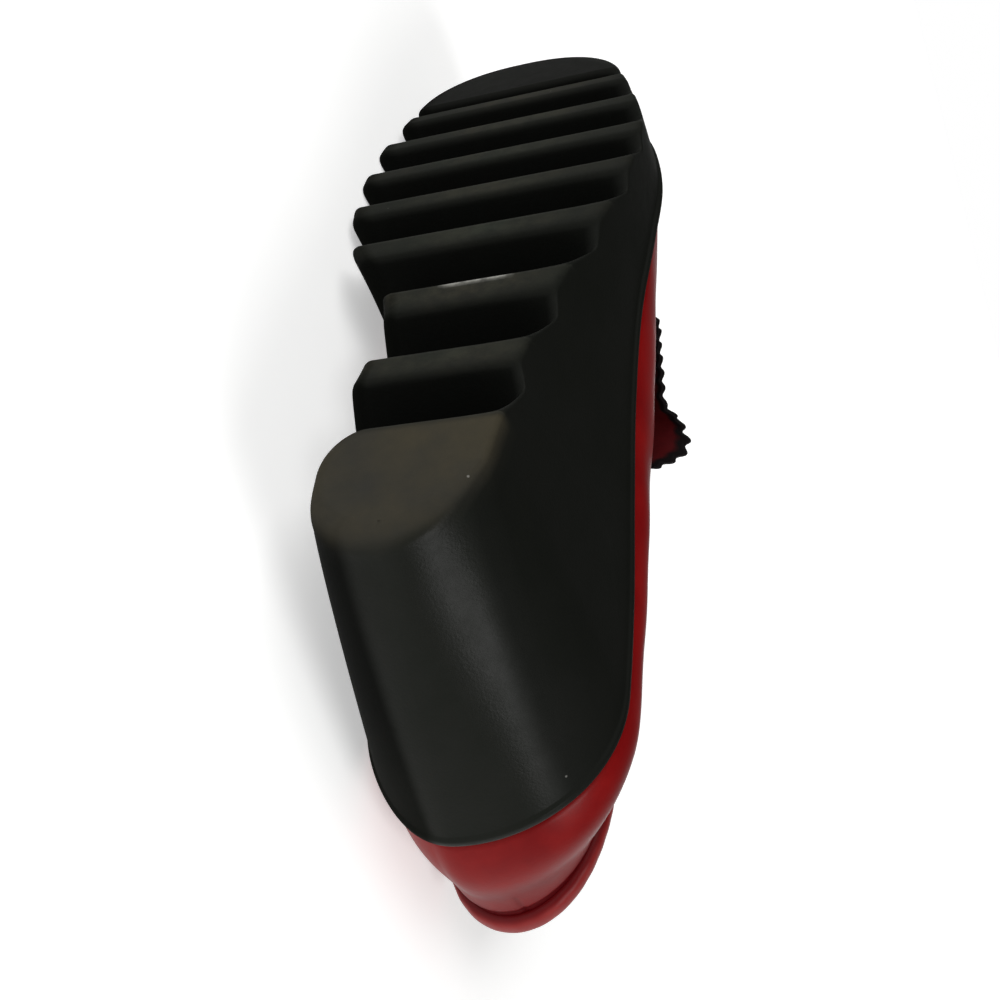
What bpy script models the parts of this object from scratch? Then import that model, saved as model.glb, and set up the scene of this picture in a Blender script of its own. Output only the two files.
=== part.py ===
"""Wedge loafer for the left foot, lying on its inner side.

Every piece is worked out in the shoe's own frame in millimetres: x from heel to toe, y to the
outer side of the foot, z up from the ground under the sole. Laying it down comes last.
"""
import math

import bmesh
import bpy
import numpy as np
from mathutils import Matrix

MM = 0.001
SEAM_GAP = 0.3

# Overall sizes of the shoe
SOLE_LENGTH = 258.0
HEEL_TREAD_START = 24.5
HEEL_ROUND = 36.0
HEEL_TREAD_ROUND_OUT = 20.0
HEEL_TREAD_SQUARENESS_OUT = 1.5
HEEL_TREAD_ROUND_IN = 14.0
HEEL_TREAD_SQUARENESS_IN = 2.4
HEEL_TUCK_RUN = 85.0
HEEL_RIDGE_SKEW = 52.0
TOE_ROUND = 30.0
TOE_SQUARENESS = 2.4
COLUMNS_A_SIDE = 46

# Sole: one row for each section along the length.
# station, middle line, lip on the outer and inner side,
# tread on the outer and inner side, height of the foot bed
SOLE_COLUMNS = ("station", "middle", "lip_out", "lip_in", "tread_out", "tread_in", "bed")
SOLE_ROWS = (
    (0.0, -6.0, 31.0, -31.5, 19.5, -16.0, 76.8),
    (30.0, -0.5, 33.0, -33.2, 17.5, -19.8, 73.0),
    (60.0, 0.0, 33.6, -32.0, 19.5, -22.3, 66.8),
    (86.0, 0.5, 33.8, -29.5, 21.5, -20.0, 57.8),
    (112.0, 0.5, 34.8, -29.0, 27.3, -21.0, 46.2),
    (138.0, -0.5, 37.2, -35.0, 36.0, -36.5, 34.8),
    (160.0, -1.5, 40.8, -38.5, 40.2, -42.0, 27.6),
    (182.0, -3.0, 42.4, -39.0, 41.0, -43.6, 24.6),
    (204.0, -5.0, 39.2, -38.3, 36.8, -42.7, 24.6),
    (226.0, -7.0, 32.4, -35.5, 30.6, -38.8, 27.0),
    (258.0, -8.0, 22.0, -31.0, 20.0, -33.5, 31.5),
)
TOE_SPRING = 9.0
TOE_SPRING_START = 155.0
ARCH_RISE = 1.5
EDGE_ROUND = 1.4
WALL_BULGE = 0.88
LIP_HEIGHT = 3.2
LIP_STEP = 0.9

# Tread: front edge of each bar, length of its flat, depth of the groove behind it
BAR_COLUMNS = ("front", "flat", "groove")
BAR_ROWS = (
    (259.0, 30.5, 8.5),
    (222.0, 6.5, 9.5),
    (201.5, 6.5, 10.0),
    (181.0, 6.5, 10.5),
    (161.0, 7.0, 11.5),
    (139.0, 8.5, 14.0),
    (114.0, 9.5, 16.0),
    (86.0, 9.5, 16.0),
    (58.5, 34.0, 0.0),
)
GROOVE_BACK_LEAN = 0.32
GROOVE_ROOT = 1.6
# How a groove runs out at the outer side: distance past the tread's edge and share of its depth there
GROOVE_END = ((-120.0, 1.0), (-12.0, 1.0), (-7.0, 0.83), (-2.5, 0.5), (2.0, 0.17), (7.0, 0.0))

# Upper: its wall and the rim that it rises to, the topline behind the throat and the crest in front.
# station on the lip, rim along, rim on the outer and inner side, rim height,
# how far the wall first rises, how far its shoulder stands out and drops below the rim,
# and how far the wall swells past its foot on the outer and inner side
WALL = 2.6
REVEAL = 2.0
UPPER_COLUMNS = ("station", "along", "rim_out", "rim_in", "height",
                 "rise", "shoulder", "drop", "bulge_out", "bulge_in")
UPPER_ROWS = (
    (0.0, 3.2, 20.0, -20.5, 115.5, 0.50, 0.20, 0.40, 6.5, 4.0),
    (30.0, 29.0, 20.5, -21.0, 106.5, 0.50, 0.20, 0.40, 7.0, 3.5),
    (60.0, 58.0, 24.5, -24.0, 98.0, 0.50, 0.20, 0.40, 8.0, 3.5),
    (86.0, 83.0, 26.0, -24.5, 92.5, 0.50, 0.22, 0.38, 8.5, 5.0),
    (108.0, 104.0, 25.0, -24.0, 91.0, 0.50, 0.26, 0.34, 8.5, 6.0),
    (126.0, 121.0, 19.5, -19.5, 91.8, 0.50, 0.36, 0.24, 9.0, 4.0),
    (138.0, 130.5, 10.5, -11.5, 92.2, 0.50, 0.50, 0.10, 8.0, 2.0),
    (146.0, 134.5, 0.0, 0.0, 92.0, 0.50, 0.58, 0.03, 6.0, 0.5),
    (160.0, 148.0, 0.0, 0.0, 83.0, 0.52, 0.60, 0.0, 1.5, -1.5),
    (182.0, 172.0, 0.0, 0.0, 69.0, 0.55, 0.62, 0.0, -3.0, -3.0),
    (204.0, 195.5, 0.0, 0.0, 60.0, 0.58, 0.64, 0.0, -3.0, -3.0),
    (226.0, 217.0, 0.0, 0.0, 53.5, 0.60, 0.66, 0.0, -1.5, -2.0),
    (258.0, 239.0, 0.0, 0.0, 48.0, 0.62, 0.68, 0.0, 0.5, 0.0),
)
THROAT_STATION = 146.0
RIM_ROUND = 25.0
UPPER_ROWS_UP = 12

# Collar band: a padded roll that carries the wall on above the rim
BAND_HEIGHT = 7.0
BAND_THICKNESS = 5.0
BAND_OUTWARD = 0.4
BAND_SIDES = 10

# Insole: a thin pad on the foot bed inside the wall
INSOLE_THICKNESS = 2.6
INSOLE_EASE = 0.6

# Fringe flap over the instep: its middle on the lip's stations and down the wall, and its outline
# in rows of turn round that middle, station on the lip, reach down the wall as a share of it
# with the outer side positive, and how far the edge stands off the wall
FLAP_THICKNESS = 1.5
FLAP_MIDDLE = 166.0
FLAP_MIDDLE_REACH = 0.2
FLAP_COLUMNS = ("turn", "along", "reach", "stand_off")
FLAP_ROWS = (
    (0.0, 190.0, 0.0, 0.0),
    (28.0, 188.5, 0.22, 0.5),
    (53.0, 182.0, 0.43, 1.5),
    (72.0, 172.1, 0.55, 2.8),
    (86.0, 164.2, 0.56, 2.7),
    (100.0, 157.1, 0.56, 2.9),
    (109.0, 152.8, 0.55, 3.2),
    (116.0, 149.4, 0.54, 3.5),
    (120.5, 148.3, 0.53, 4.6),
    (126.0, 148.0, 0.52, 6.8),
    (134.0, 147.2, 0.50, 9.7),
    (142.0, 144.0, 0.47, 11.2),
    (150.0, 140.2, 0.42, 10.5),
    (158.0, 137.9, 0.36, 8.0),
    (166.0, 136.2, 0.31, 5.3),
    (189.0, 144.5, 0.22, 2.6),
    (208.0, 149.0, 0.10, 0.8),
    (221.0, 150.0, 0.0, 0.3),
    (232.0, 150.0, -0.10, 0.0),
    (249.0, 150.5, -0.25, 0.0),
    (268.0, 153.0, -0.38, 0.2),
    (289.0, 161.0, -0.45, 0.4),
    (309.0, 172.0, -0.44, 0.4),
    (326.0, 182.0, -0.36, 0.4),
    (341.0, 188.0, -0.19, 0.2),
    (360.0, 190.0, 0.0, 0.0),
)
FLAP_STAND_OFF_RISE = 0.9
FLAP_TEETH = 46
FLAP_TOOTH = 1.4
FLAP_RINGS = (0.2, 0.42, 0.63, 0.82, 1.0)
FLAP_GAP = 0.7
FLAP_CREST = 0.15

# How it lies: turn about its length past the flat, and lift of the toe end
LIE_ROLL = -8.9
LIE_PITCH = -0.18

# Colours, linear
RUBBER_COLOUR = (0.012, 0.012, 0.011, 1.0)
LEATHER_COLOUR = (0.20, 0.012, 0.012, 1.0)
FLAP_COLOUR = (0.10, 0.006, 0.007, 1.0)
BAND_COLOUR = (0.24, 0.02, 0.02, 1.0)
INSOLE_COLOUR = (0.35, 0.24, 0.15, 1.0)


def table(columns, rows):
    """The rows as one array for each named column."""
    return dict(zip(columns, np.array(rows, dtype=float).T))


SOLE = table(SOLE_COLUMNS, SOLE_ROWS)
UPPER = table(UPPER_COLUMNS, UPPER_ROWS)
BARS = table(BAR_COLUMNS, BAR_ROWS)
FLAP = table(FLAP_COLUMNS, FLAP_ROWS)


def smooth(rows, column, at, key="station"):
    """A column read between its rows by cubic pieces that share slopes where they join."""
    xs = rows[key]
    ys = rows[column]
    at = np.asarray(at, dtype=float)
    slope = np.gradient(ys, xs)
    k = np.clip(np.searchsorted(xs, at) - 1, 0, len(xs) - 2)
    step = xs[k + 1] - xs[k]
    t = np.clip((at - xs[k]) / step, 0.0, 1.0)
    start = (2 * t**3 - 3 * t**2 + 1) * ys[k] + (t**3 - 2 * t**2 + t) * step * slope[k]
    return start + (3 * t**2 - 2 * t**3) * ys[k + 1] + (t**3 - t**2) * step * slope[k + 1]


def cap(distance, size, power):
    """Share of the full half width at a distance from a rounded end: a superellipse quarter."""
    inside = np.clip(1.0 - distance / size, 0.0, 1.0)
    return (1.0 - inside**power) ** (1.0 / power)


def tread_height(x):
    """Ground side of the sole: flat under heel and ball, a low arch, a curve up to the toe."""
    spring = np.clip((x - TOE_SPRING_START) / (SOLE_LENGTH - TOE_SPRING_START), 0.0, None)
    arch = np.clip((x - 58.0) / (139.0 - 58.0), 0.0, 1.0)
    return TOE_SPRING * spring**2 + ARCH_RISE * np.sin(math.pi * arch) ** 2


def stations(first, last):
    """Stations from heel to toe, close together at both round ends."""
    turn = np.linspace(0.0, math.pi, COLUMNS_A_SIDE + 1)
    return first + (last - first) * 0.5 * (1.0 - np.cos(turn))


def ring(outer, inner):
    """One closed loop: the outer side from heel to toe, then the inner side back to the heel."""
    return np.concatenate([outer, inner[-2:0:-1]])


def lip_loop():
    """Plan of the sole's top edge and the station of each of its columns."""
    at = stations(0.0, SOLE_LENGTH)
    middle = smooth(SOLE, "middle", at)
    share = cap(at, HEEL_ROUND, 2.0) * cap(SOLE_LENGTH - at, TOE_ROUND, TOE_SQUARENESS)
    outer = middle + (smooth(SOLE, "lip_out", at) - middle) * share
    inner = middle + (smooth(SOLE, "lip_in", at) - middle) * share
    return ring(np.column_stack([at, outer]), np.column_stack([at, inner])), ring(at, at)


def tread_loop():
    """Plan of the tread's edge, column for column with the lip: it starts well in under the heel.

    On the outer side the columns lead the heel's corner back to the rear of the lip, as a soft ridge.
    """
    at = stations(0.0, SOLE_LENGTH)
    left = np.clip(1.0 - at / HEEL_TUCK_RUN, 0.0, 1.0)
    tuck = HEEL_TREAD_START * left**1.8
    skew = HEEL_RIDGE_SKEW * np.sqrt(at / HEEL_TUCK_RUN) * left**2.5
    outer = tread_side("tread_out", at + tuck + skew, HEEL_TREAD_ROUND_OUT, HEEL_TREAD_SQUARENESS_OUT)
    inner = tread_side("tread_in", at + tuck, HEEL_TREAD_ROUND_IN, HEEL_TREAD_SQUARENESS_IN)
    return ring(outer, inner)


def tread_side(column, x, heel_round, heel_squareness):
    """One side of the tread's plan at stations x, drawn in to the middle line at both ends."""
    middle = smooth(SOLE, "middle", x)
    toe = cap(SOLE_LENGTH - x, TOE_ROUND, TOE_SQUARENESS)
    heel = cap(x - HEEL_TREAD_START, heel_round, heel_squareness)
    return np.column_stack([x, middle + (smooth(SOLE, column, x) - middle) * toe * heel])


def inset(loop, amount):
    """The loop moved inward in plan by an amount, square to its own run."""
    run = np.roll(loop, -1, axis=0) - np.roll(loop, 1, axis=0)
    run /= np.linalg.norm(run, axis=1)[:, None]
    return loop + np.column_stack([run[:, 1], -run[:, 0]]) * -amount * turn_sign(loop)


def turn_sign(loop):
    """+1 where the loop runs counter-clockwise in plan, -1 where it runs clockwise."""
    x, y = loop[:, 0], loop[:, 1]
    return 1.0 if np.sum(x * np.roll(y, -1) - y * np.roll(x, -1)) > 0 else -1.0


def material(name, colour, roughness):
    made = bpy.data.materials.new(name)
    made.use_nodes = True
    shader = made.node_tree.nodes["Principled BSDF"]
    shader.inputs["Base Color"].default_value = colour
    shader.inputs["Roughness"].default_value = roughness
    return made


def lie_down():
    """From the shoe's frame to the floor: outer side up, ground side to -Y, toe to -X, then two turns."""
    flat = Matrix(((-1, 0, 0), (0, 0, 1), (0, 1, 0))).to_4x4()
    roll = Matrix.Rotation(math.radians(LIE_ROLL), 4, "X")
    pitch = Matrix.Rotation(math.radians(LIE_PITCH), 4, "Y")
    return pitch @ roll @ flat


def solid(name, points, faces, made):
    """A closed mesh object in the shoe's millimetres, normals outward, faces shaded smooth."""
    bm = bmesh.new()
    corners = [bm.verts.new(p) for p in points]
    for face in faces:
        bm.faces.new([corners[i] for i in face])
    bmesh.ops.remove_doubles(bm, verts=bm.verts, dist=0.0005)
    bmesh.ops.recalc_face_normals(bm, faces=bm.faces)
    for face in bm.faces:
        face.smooth = True
    mesh = bpy.data.meshes.new(name)
    bm.to_mesh(mesh)
    bm.free()
    obj = bpy.data.objects.new(name, mesh)
    bpy.context.scene.collection.objects.link(obj)
    if made:
        mesh.materials.append(made)
    return obj


def skin(rings):
    """Faces between successive closed loops of the same count."""
    count = len(rings[0])
    faces = []
    for r in range(len(rings) - 1):
        for i in range(count):
            j = (i + 1) % count
            faces.append((r * count + i, r * count + j, (r + 1) * count + j, (r + 1) * count + i))
    return faces


def across(first, count):
    """Faces that close a loop by joining each outer column to the inner column of the same station."""
    half = count // 2
    faces = [(first, first + 1, first + count - 1)]
    for i in range(1, half - 1):
        faces.append((first + i, first + i + 1, first + count - i - 1, first + count - i))
    faces.append((first + half - 1, first + half, first + half + 1))
    return faces


def build_sole(made):
    """The wedge: tread edge, tapering wall and lip as loops, closed across, then the grooves cut through."""
    lip, at = lip_loop()
    tread = tread_loop()
    bed = smooth(SOLE, "bed", at)
    ground = tread_height(tread[:, 0])
    under = inset(lip, LIP_STEP)
    top = bed - LIP_HEIGHT
    loops = [np.column_stack([inset(tread, EDGE_ROUND), ground])]
    loops.append(np.column_stack([inset(tread, EDGE_ROUND * 0.3), ground + EDGE_ROUND * 0.3]))
    low = ground + EDGE_ROUND
    for t in (0.0, 0.12, 0.3, 0.5, 0.75, 1.0):
        out = t**WALL_BULGE
        loops.append(np.column_stack([tread + (under - tread) * out, low + (top - low) * t]))
    loops.append(np.column_stack([lip, top + LIP_STEP]))
    loops.append(np.column_stack([lip, bed - 0.7]))
    loops.append(np.column_stack([inset(lip, 0.7), bed]))
    count = len(lip)
    faces = skin(loops) + across(0, count) + across((len(loops) - 1) * count, count)
    sole = solid("sole_unit", np.concatenate(loops), faces, made)
    cutter = solid("groove_cutter", *groove_prisms(), None)
    cutter.hide_render = True
    cutter.display_type = "WIRE"
    cut = sole.modifiers.new("grooves", "BOOLEAN")
    cut.operation = "DIFFERENCE"
    cut.solver = "EXACT"
    cut.object = cutter
    return sole, cutter


def groove_prisms():
    """A wedge-shaped prism across the sole behind each bar: steep in front, a long slope at its rear.

    Towards the outer side its root comes down to the ground, so that the groove runs out in the wall.
    """
    points = []
    faces = []
    deep = 6.0
    rows = len(GROOVE_END)
    for k in range(len(BAR_ROWS) - 1):
        front_side = BARS["front"][k] - BARS["flat"][k]
        rear_side = BARS["front"][k + 1]
        low_front = float(tread_height(front_side))
        low_rear = float(tread_height(rear_side))
        ground = 0.5 * (low_front + low_rear)
        root_front = front_side - GROOVE_BACK_LEAN * BARS["groove"][k]
        slope = (root_front - GROOVE_ROOT - rear_side) / (ground + BARS["groove"][k] - low_rear)
        x = np.array([front_side + GROOVE_BACK_LEAN * deep, root_front,
                      root_front - GROOVE_ROOT, rear_side - slope * deep])
        edge = tread_side("tread_out", x, HEEL_TREAD_ROUND_OUT, HEEL_TREAD_SQUARENESS_OUT)[:, 1]
        base = len(points)
        for past, share in GROOVE_END:
            root = ground - 1.0 + (BARS["groove"][k] + 1.0) * share
            points.extend(zip(x, edge + past, (low_front - deep, root, root, low_rear - deep)))
        faces.append(tuple(base + i for i in range(4)))
        faces.append(tuple(base + 4 * rows - 1 - i for i in range(4)))
        for first in range(base, base + 4 * (rows - 1), 4):
            for i in range(4):
                j = (i + 1) % 4
                faces.append((first + i, first + j, first + 4 + j, first + 4 + i))
    return points, faces


def upper_grid():
    """The upper's outer face in rows of columns: each leaves the lip upright and bends in to the rim."""
    lip, at = lip_loop()
    foot = inset(lip, REVEAL)
    bed = smooth(SOLE, "bed", at) + SEAM_GAP
    start = np.column_stack([foot, bed])
    half = COLUMNS_A_SIDE
    side = np.where(np.arange(len(at)) <= half, 1.0, -1.0)
    along = smooth(UPPER, "along", at)
    height = smooth(UPPER, "height", at)
    round_back = cap(along - UPPER["along"][0], RIM_ROUND, 2.0)
    outer = smooth(UPPER, "rim_out", at)
    inner = smooth(UPPER, "rim_in", at)
    crest = np.interp(along, SOLE["station"], SOLE["middle"])
    open_part = np.where(at < THROAT_STATION, 1.0, 0.0)
    rim_y = crest + open_part * np.where(side > 0, outer, inner) * round_back
    rim = np.column_stack([along, rim_y, height])
    rise = smooth(UPPER, "rise", at)
    shoulder = smooth(UPPER, "shoulder", at)
    drop = smooth(UPPER, "drop", at)
    tall = rim[:, 2] - start[:, 2]
    bulge = np.where(side > 0, smooth(UPPER, "bulge_out", at), smooth(UPPER, "bulge_in", at))
    outward = (inset(lip, -1.0) - lip) * bulge[:, None]
    first = start + np.column_stack([outward, rise * tall])
    second = rim + np.column_stack([(start - rim)[:, :2] * shoulder[:, None], -drop * tall])
    rows = []
    for v in np.linspace(0.0, 1.0, UPPER_ROWS_UP + 1):
        u = 1.0 - v
        rows.append(u**3 * start + 3 * u**2 * v * first + 3 * u * v**2 * second + v**3 * rim)
    return rows


def grid_normals(rows):
    """Outward normals at the upper's grid points: its rise crossed with its run round the shoe."""
    run = np.roll(rows, -1, axis=1) - np.roll(rows, 1, axis=1)
    normal = np.cross(np.gradient(rows, axis=0), run)
    return normal / np.maximum(np.linalg.norm(normal, axis=2), 1e-9)[..., None]


def between(grid, station, side, share):
    """A value read between the upper's grid points: side +1 or -1, share 0 at the lip to 1 at the rim."""
    count = grid.shape[1]
    column = np.interp(station, stations(0.0, SOLE_LENGTH), np.arange(COLUMNS_A_SIDE + 1))
    column = column if side > 0 else (count - column) % count
    level = share * UPPER_ROWS_UP
    i = int(min(math.floor(column), count - 1))
    j = int(min(math.floor(level), UPPER_ROWS_UP - 1))
    fx = column - i
    fy = level - j
    low = grid[j][i] * (1 - fx) + grid[j][(i + 1) % count] * fx
    high = grid[j + 1][i] * (1 - fx) + grid[j + 1][(i + 1) % count] * fx
    return low * (1 - fy) + high * fy


def shell(rows):
    """The grid welded along its crest, as an open bmesh with outward normals."""
    bm = bmesh.new()
    corners = [bm.verts.new(p) for p in np.concatenate(rows)]
    for face in skin(rows):
        bm.faces.new([corners[i] for i in face])
    bmesh.ops.remove_doubles(bm, verts=bm.verts, dist=0.0005)
    bmesh.ops.dissolve_degenerate(bm, edges=bm.edges, dist=0.0005)
    bmesh.ops.recalc_face_normals(bm, faces=bm.faces)
    bm.normal_update()
    bm.verts.index_update()
    toe = max(bm.verts, key=lambda v: v.co.x)
    if toe.normal.x < 0.0:
        bmesh.ops.reverse_faces(bm, faces=bm.faces)
        bm.normal_update()
    return bm


def thicken(bm, thickness):
    """Points and faces of a wall: the shell, its copy moved in along the normals, and edge strips."""
    outside = [tuple(v.co) for v in bm.verts]
    inside = [tuple(v.co - v.normal * thickness) for v in bm.verts]
    count = len(outside)
    faces = [tuple(v.index for v in f.verts) for f in bm.faces]
    faces += [tuple(count + i for i in reversed(f)) for f in list(faces)]
    for edge in bm.edges:
        if edge.is_boundary:
            loop = edge.link_loops[0]
            a = loop.vert.index
            b = loop.link_loop_next.vert.index
            faces.append((b, a, count + a, count + b))
    return outside + inside, faces


def build_upper(made):
    """The hollow leather wall, open at the topline and underneath, its foot kept above the foot bed."""
    bm = shell(upper_grid())
    points, faces = thicken(bm, WALL)
    bm.free()
    points = [(x, y, max(z, float(smooth(SOLE, "bed", x)) + SEAM_GAP)) for x, y, z in points]
    return solid("upper", points, faces, made)


def rim_frame():
    """The topline loop and, at each point, the wall's outward normal and the way on past the rim."""
    rows = upper_grid()
    lip, at = lip_loop()
    keep = at < THROAT_STATION
    rim = rows[-1]
    below = rows[-2]
    order = np.concatenate([np.where(keep & (np.arange(len(at)) > COLUMNS_A_SIDE))[0],
                            np.where(keep & (np.arange(len(at)) <= COLUMNS_A_SIDE))[0]])
    loop = rim[order]
    down = below[order] - loop
    run = np.roll(loop, -1, axis=0) - np.roll(loop, 1, axis=0)
    run /= np.linalg.norm(run, axis=1)[:, None]
    normal = np.cross(run, down)
    normal /= np.linalg.norm(normal, axis=1)[:, None]
    on = np.cross(normal, run)
    on *= np.sign(-np.sum(on * down, axis=1))[:, None]
    centre = loop.mean(axis=0)
    sign = np.sign(np.sum(normal[:, :2] * (loop - centre)[:, :2], axis=1).mean())
    return loop, normal * sign, on


def build_band(made):
    """A rounded roll that follows the topline just above the wall's edge, as wide as it is padded."""
    loop, normal, on = rim_frame()
    centre = loop - normal * (WALL * 0.5 - BAND_OUTWARD) + on * (SEAM_GAP + BAND_HEIGHT * 0.5)
    rings = []
    for k in range(BAND_SIDES):
        turn = 2.0 * math.pi * k / BAND_SIDES
        wide = BAND_THICKNESS * 0.5 * math.copysign(abs(math.cos(turn)) ** 0.8, math.cos(turn))
        tall = BAND_HEIGHT * 0.5 * math.copysign(abs(math.sin(turn)) ** 0.8, math.sin(turn))
        rings.append(centre + normal * wide + on * tall)
    rings.append(rings[0])
    return solid("collar_band", np.concatenate(rings), skin(rings), made)


def flap_point(rows, normals, ring_share, turn):
    """A point of the flap's top face: its outline drawn in to its middle, lifted off towards the edge.

    Near the crest the wall's normal turns to the mean of both sides, so that the flap bends over it.
    """
    reach = FLAP_MIDDLE_REACH + (float(smooth(FLAP, "reach", turn, "turn")) - FLAP_MIDDLE_REACH) * ring_share
    station = FLAP_MIDDLE + (float(smooth(FLAP, "along", turn, "turn")) - FLAP_MIDDLE) * ring_share
    side = 1.0 if reach >= 0 else -1.0
    normal = between(normals, station, side, 1.0 - abs(reach))
    crest = between(normals, station, 1.0, 1.0) + between(normals, station, -1.0, 1.0)
    near = max(1.0 - abs(reach) / FLAP_CREST, 0.0)
    normal = normal / np.linalg.norm(normal) * (1.0 - near) + crest / np.linalg.norm(crest) * near
    normal = normal / np.linalg.norm(normal)
    point = between(rows, station, side, 1.0 - abs(reach)) + normal * (FLAP_GAP + FLAP_THICKNESS)
    lift = float(smooth(FLAP, "stand_off", turn, "turn")) * ring_share**3
    return point + np.array([0.0, 1.0, FLAP_STAND_OFF_RISE]) * lift


def flap_turns(rows, normals):
    """Turns at equal steps along the flap's outline, two for each tooth."""
    fine = np.linspace(0.0, 360.0, 361)
    outline = np.array([flap_point(rows, normals, 1.0, turn) for turn in fine])
    run = np.concatenate([[0.0], np.cumsum(np.linalg.norm(np.diff(outline, axis=0), axis=1))])
    return np.interp(np.linspace(0.0, run[-1], 2 * FLAP_TEETH + 1)[:-1], run, fine)


def build_flap(made):
    """The pinked flap: rings out from its middle, the outermost cut for the teeth, then thickened."""
    rows = np.array(upper_grid())
    normals = grid_normals(rows)
    turns = flap_turns(rows, normals)
    bm = bmesh.new()
    middle = flap_point(rows, normals, 0.0, 0.0)
    centre = bm.verts.new(middle)
    last = None
    for share in FLAP_RINGS:
        loop = []
        for k, turn in enumerate(turns):
            edge = np.linalg.norm(flap_point(rows, normals, 1.0, turn) - middle)
            cut = FLAP_TOOTH / edge if share == FLAP_RINGS[-1] and k % 2 else 0.0
            loop.append(bm.verts.new(flap_point(rows, normals, share - cut, turn)))
        for k in range(len(turns)):
            j = (k + 1) % len(turns)
            inner = (centre,) if last is None else (last[j], last[k])
            bm.faces.new(inner + (loop[k], loop[j]))
        last = loop
    bmesh.ops.recalc_face_normals(bm, faces=bm.faces)
    bm.normal_update()
    bm.verts.index_update()
    if centre.normal.z < 0.0:
        bmesh.ops.reverse_faces(bm, faces=bm.faces)
        bm.normal_update()
    points, faces = thicken(bm, FLAP_THICKNESS)
    bm.free()
    return solid("kiltie_flap", points, faces, made)


def build_insole(made):
    """The pad that lines the foot bed, a little inside the wall all round."""
    lip, at = lip_loop()
    bed = smooth(SOLE, "bed", at) + SEAM_GAP
    edge = inset(lip, REVEAL + WALL + SEAM_GAP + INSOLE_EASE)
    loops = [
        np.column_stack([inset(edge, 0.6), bed]),
        np.column_stack([edge, bed + 0.6]),
        np.column_stack([edge, bed + INSOLE_THICKNESS - 0.8]),
        np.column_stack([inset(edge, 0.8), bed + INSOLE_THICKNESS]),
    ]
    count = len(lip)
    faces = skin(loops) + across(0, count) + across(3 * count, count)
    return solid("insole", np.concatenate(loops), faces, made)


def main():
    for old in list(bpy.data.objects):
        bpy.data.objects.remove(old, do_unlink=True)
    rubber = material("black_rubber", RUBBER_COLOUR, 0.6)
    leather = material("red_leather", LEATHER_COLOUR, 0.35)
    band_leather = material("red_collar_leather", BAND_COLOUR, 0.4)
    fringe = material("dark_red_leather", FLAP_COLOUR, 0.5)
    lining = material("tan_leather", INSOLE_COLOUR, 0.7)
    sole, cutter = build_sole(rubber)
    pieces = [
        sole,
        build_upper(leather),
        build_band(band_leather),
        build_flap(fringe),
        build_insole(lining),
    ]
    lay = lie_down() @ Matrix.Scale(MM, 4)
    for obj in pieces + [cutter]:
        obj.data.transform(lay)
    low = np.array([min(c) for c in zip(*(v.co for o in pieces for v in o.data.vertices))])
    high = np.array([max(c) for c in zip(*(v.co for o in pieces for v in o.data.vertices))])
    middle = 0.5 * (low + high)
    drop = Matrix.Translation((-middle[0], -middle[1], -low[2]))
    for obj in pieces + [cutter]:
        obj.data.transform(drop)


main()
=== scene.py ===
import math

import bmesh
import bpy
import numpy as np
from mathutils import Matrix


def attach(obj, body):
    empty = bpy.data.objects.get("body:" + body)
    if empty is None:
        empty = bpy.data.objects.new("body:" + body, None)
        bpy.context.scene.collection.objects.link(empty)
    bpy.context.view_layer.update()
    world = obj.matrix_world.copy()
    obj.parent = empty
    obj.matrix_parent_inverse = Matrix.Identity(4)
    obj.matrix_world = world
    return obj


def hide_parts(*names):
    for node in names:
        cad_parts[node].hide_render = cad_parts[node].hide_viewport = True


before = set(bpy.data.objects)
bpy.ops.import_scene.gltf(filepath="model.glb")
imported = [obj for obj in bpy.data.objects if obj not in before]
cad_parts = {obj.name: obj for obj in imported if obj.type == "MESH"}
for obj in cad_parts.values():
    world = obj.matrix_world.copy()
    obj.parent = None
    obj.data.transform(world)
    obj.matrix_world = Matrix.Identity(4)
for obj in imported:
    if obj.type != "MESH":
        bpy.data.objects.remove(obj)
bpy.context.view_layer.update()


# Sole unit. One wedge moulded from black rubber, matt as it leaves the mould: a tall heel, a thick
# forefoot with cross bars and two arch lugs, and a thin lip that the upper is cemented to.
# Sizes are in the shoe's own millimetres: x heel to toe, y to the outer side, z up from the ground.
SOLE_LENGTH = 258.0
HEEL_ROUND = 36.0
HEEL_TREAD_START = 24.5
HEEL_TUCK_RUN = 85.0
HEEL_TUCK_POWER = 1.8
HEEL_RIDGE_SKEW = 52.0
HEEL_RIDGE_POWER = 2.5
HEEL_TREAD_OUT = (20.0, 1.5)
HEEL_TREAD_IN = (14.0, 2.4)
TOE_ROUND = 30.0
TOE_SQUARENESS = 2.4
TOE_SPRING = 9.0
TOE_SPRING_START = 155.0
ARCH_RISE = 1.5
ARCH_SPAN = (58.0, 139.0)
EDGE_ROUND = 1.4
# The rounder back of the heel's face and where it fades, then the rounder, swollen inner ends of the
# bars, with the stations between which they come in and go out
HEEL_BACK_ROUND = 6.0
HEEL_BACK_FADE = (26.0, 42.0)
BAR_END_ROUND = 2.8
BAR_END_SWELL = 0.8
BAR_ENDS_IN = (60.0, 70.0)
BAR_ENDS_OUT = (225.0, 245.0)
# The heel's inner front corner is rounded off: along the shoe, across it, the heights between which
# that fades, the lean of the heel's front and a station in the first groove that bounds it
HEEL_CORNER = (14.0, 10.0)
HEEL_CORNER_FADE = (4.0, 16.0)
HEEL_FRONT_LEAN = 0.7
HEEL_GROOVE = 70.0
WALL_BULGE = 0.88
LIP_HEIGHT = 3.2
LIP_STEP = 0.9
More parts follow.
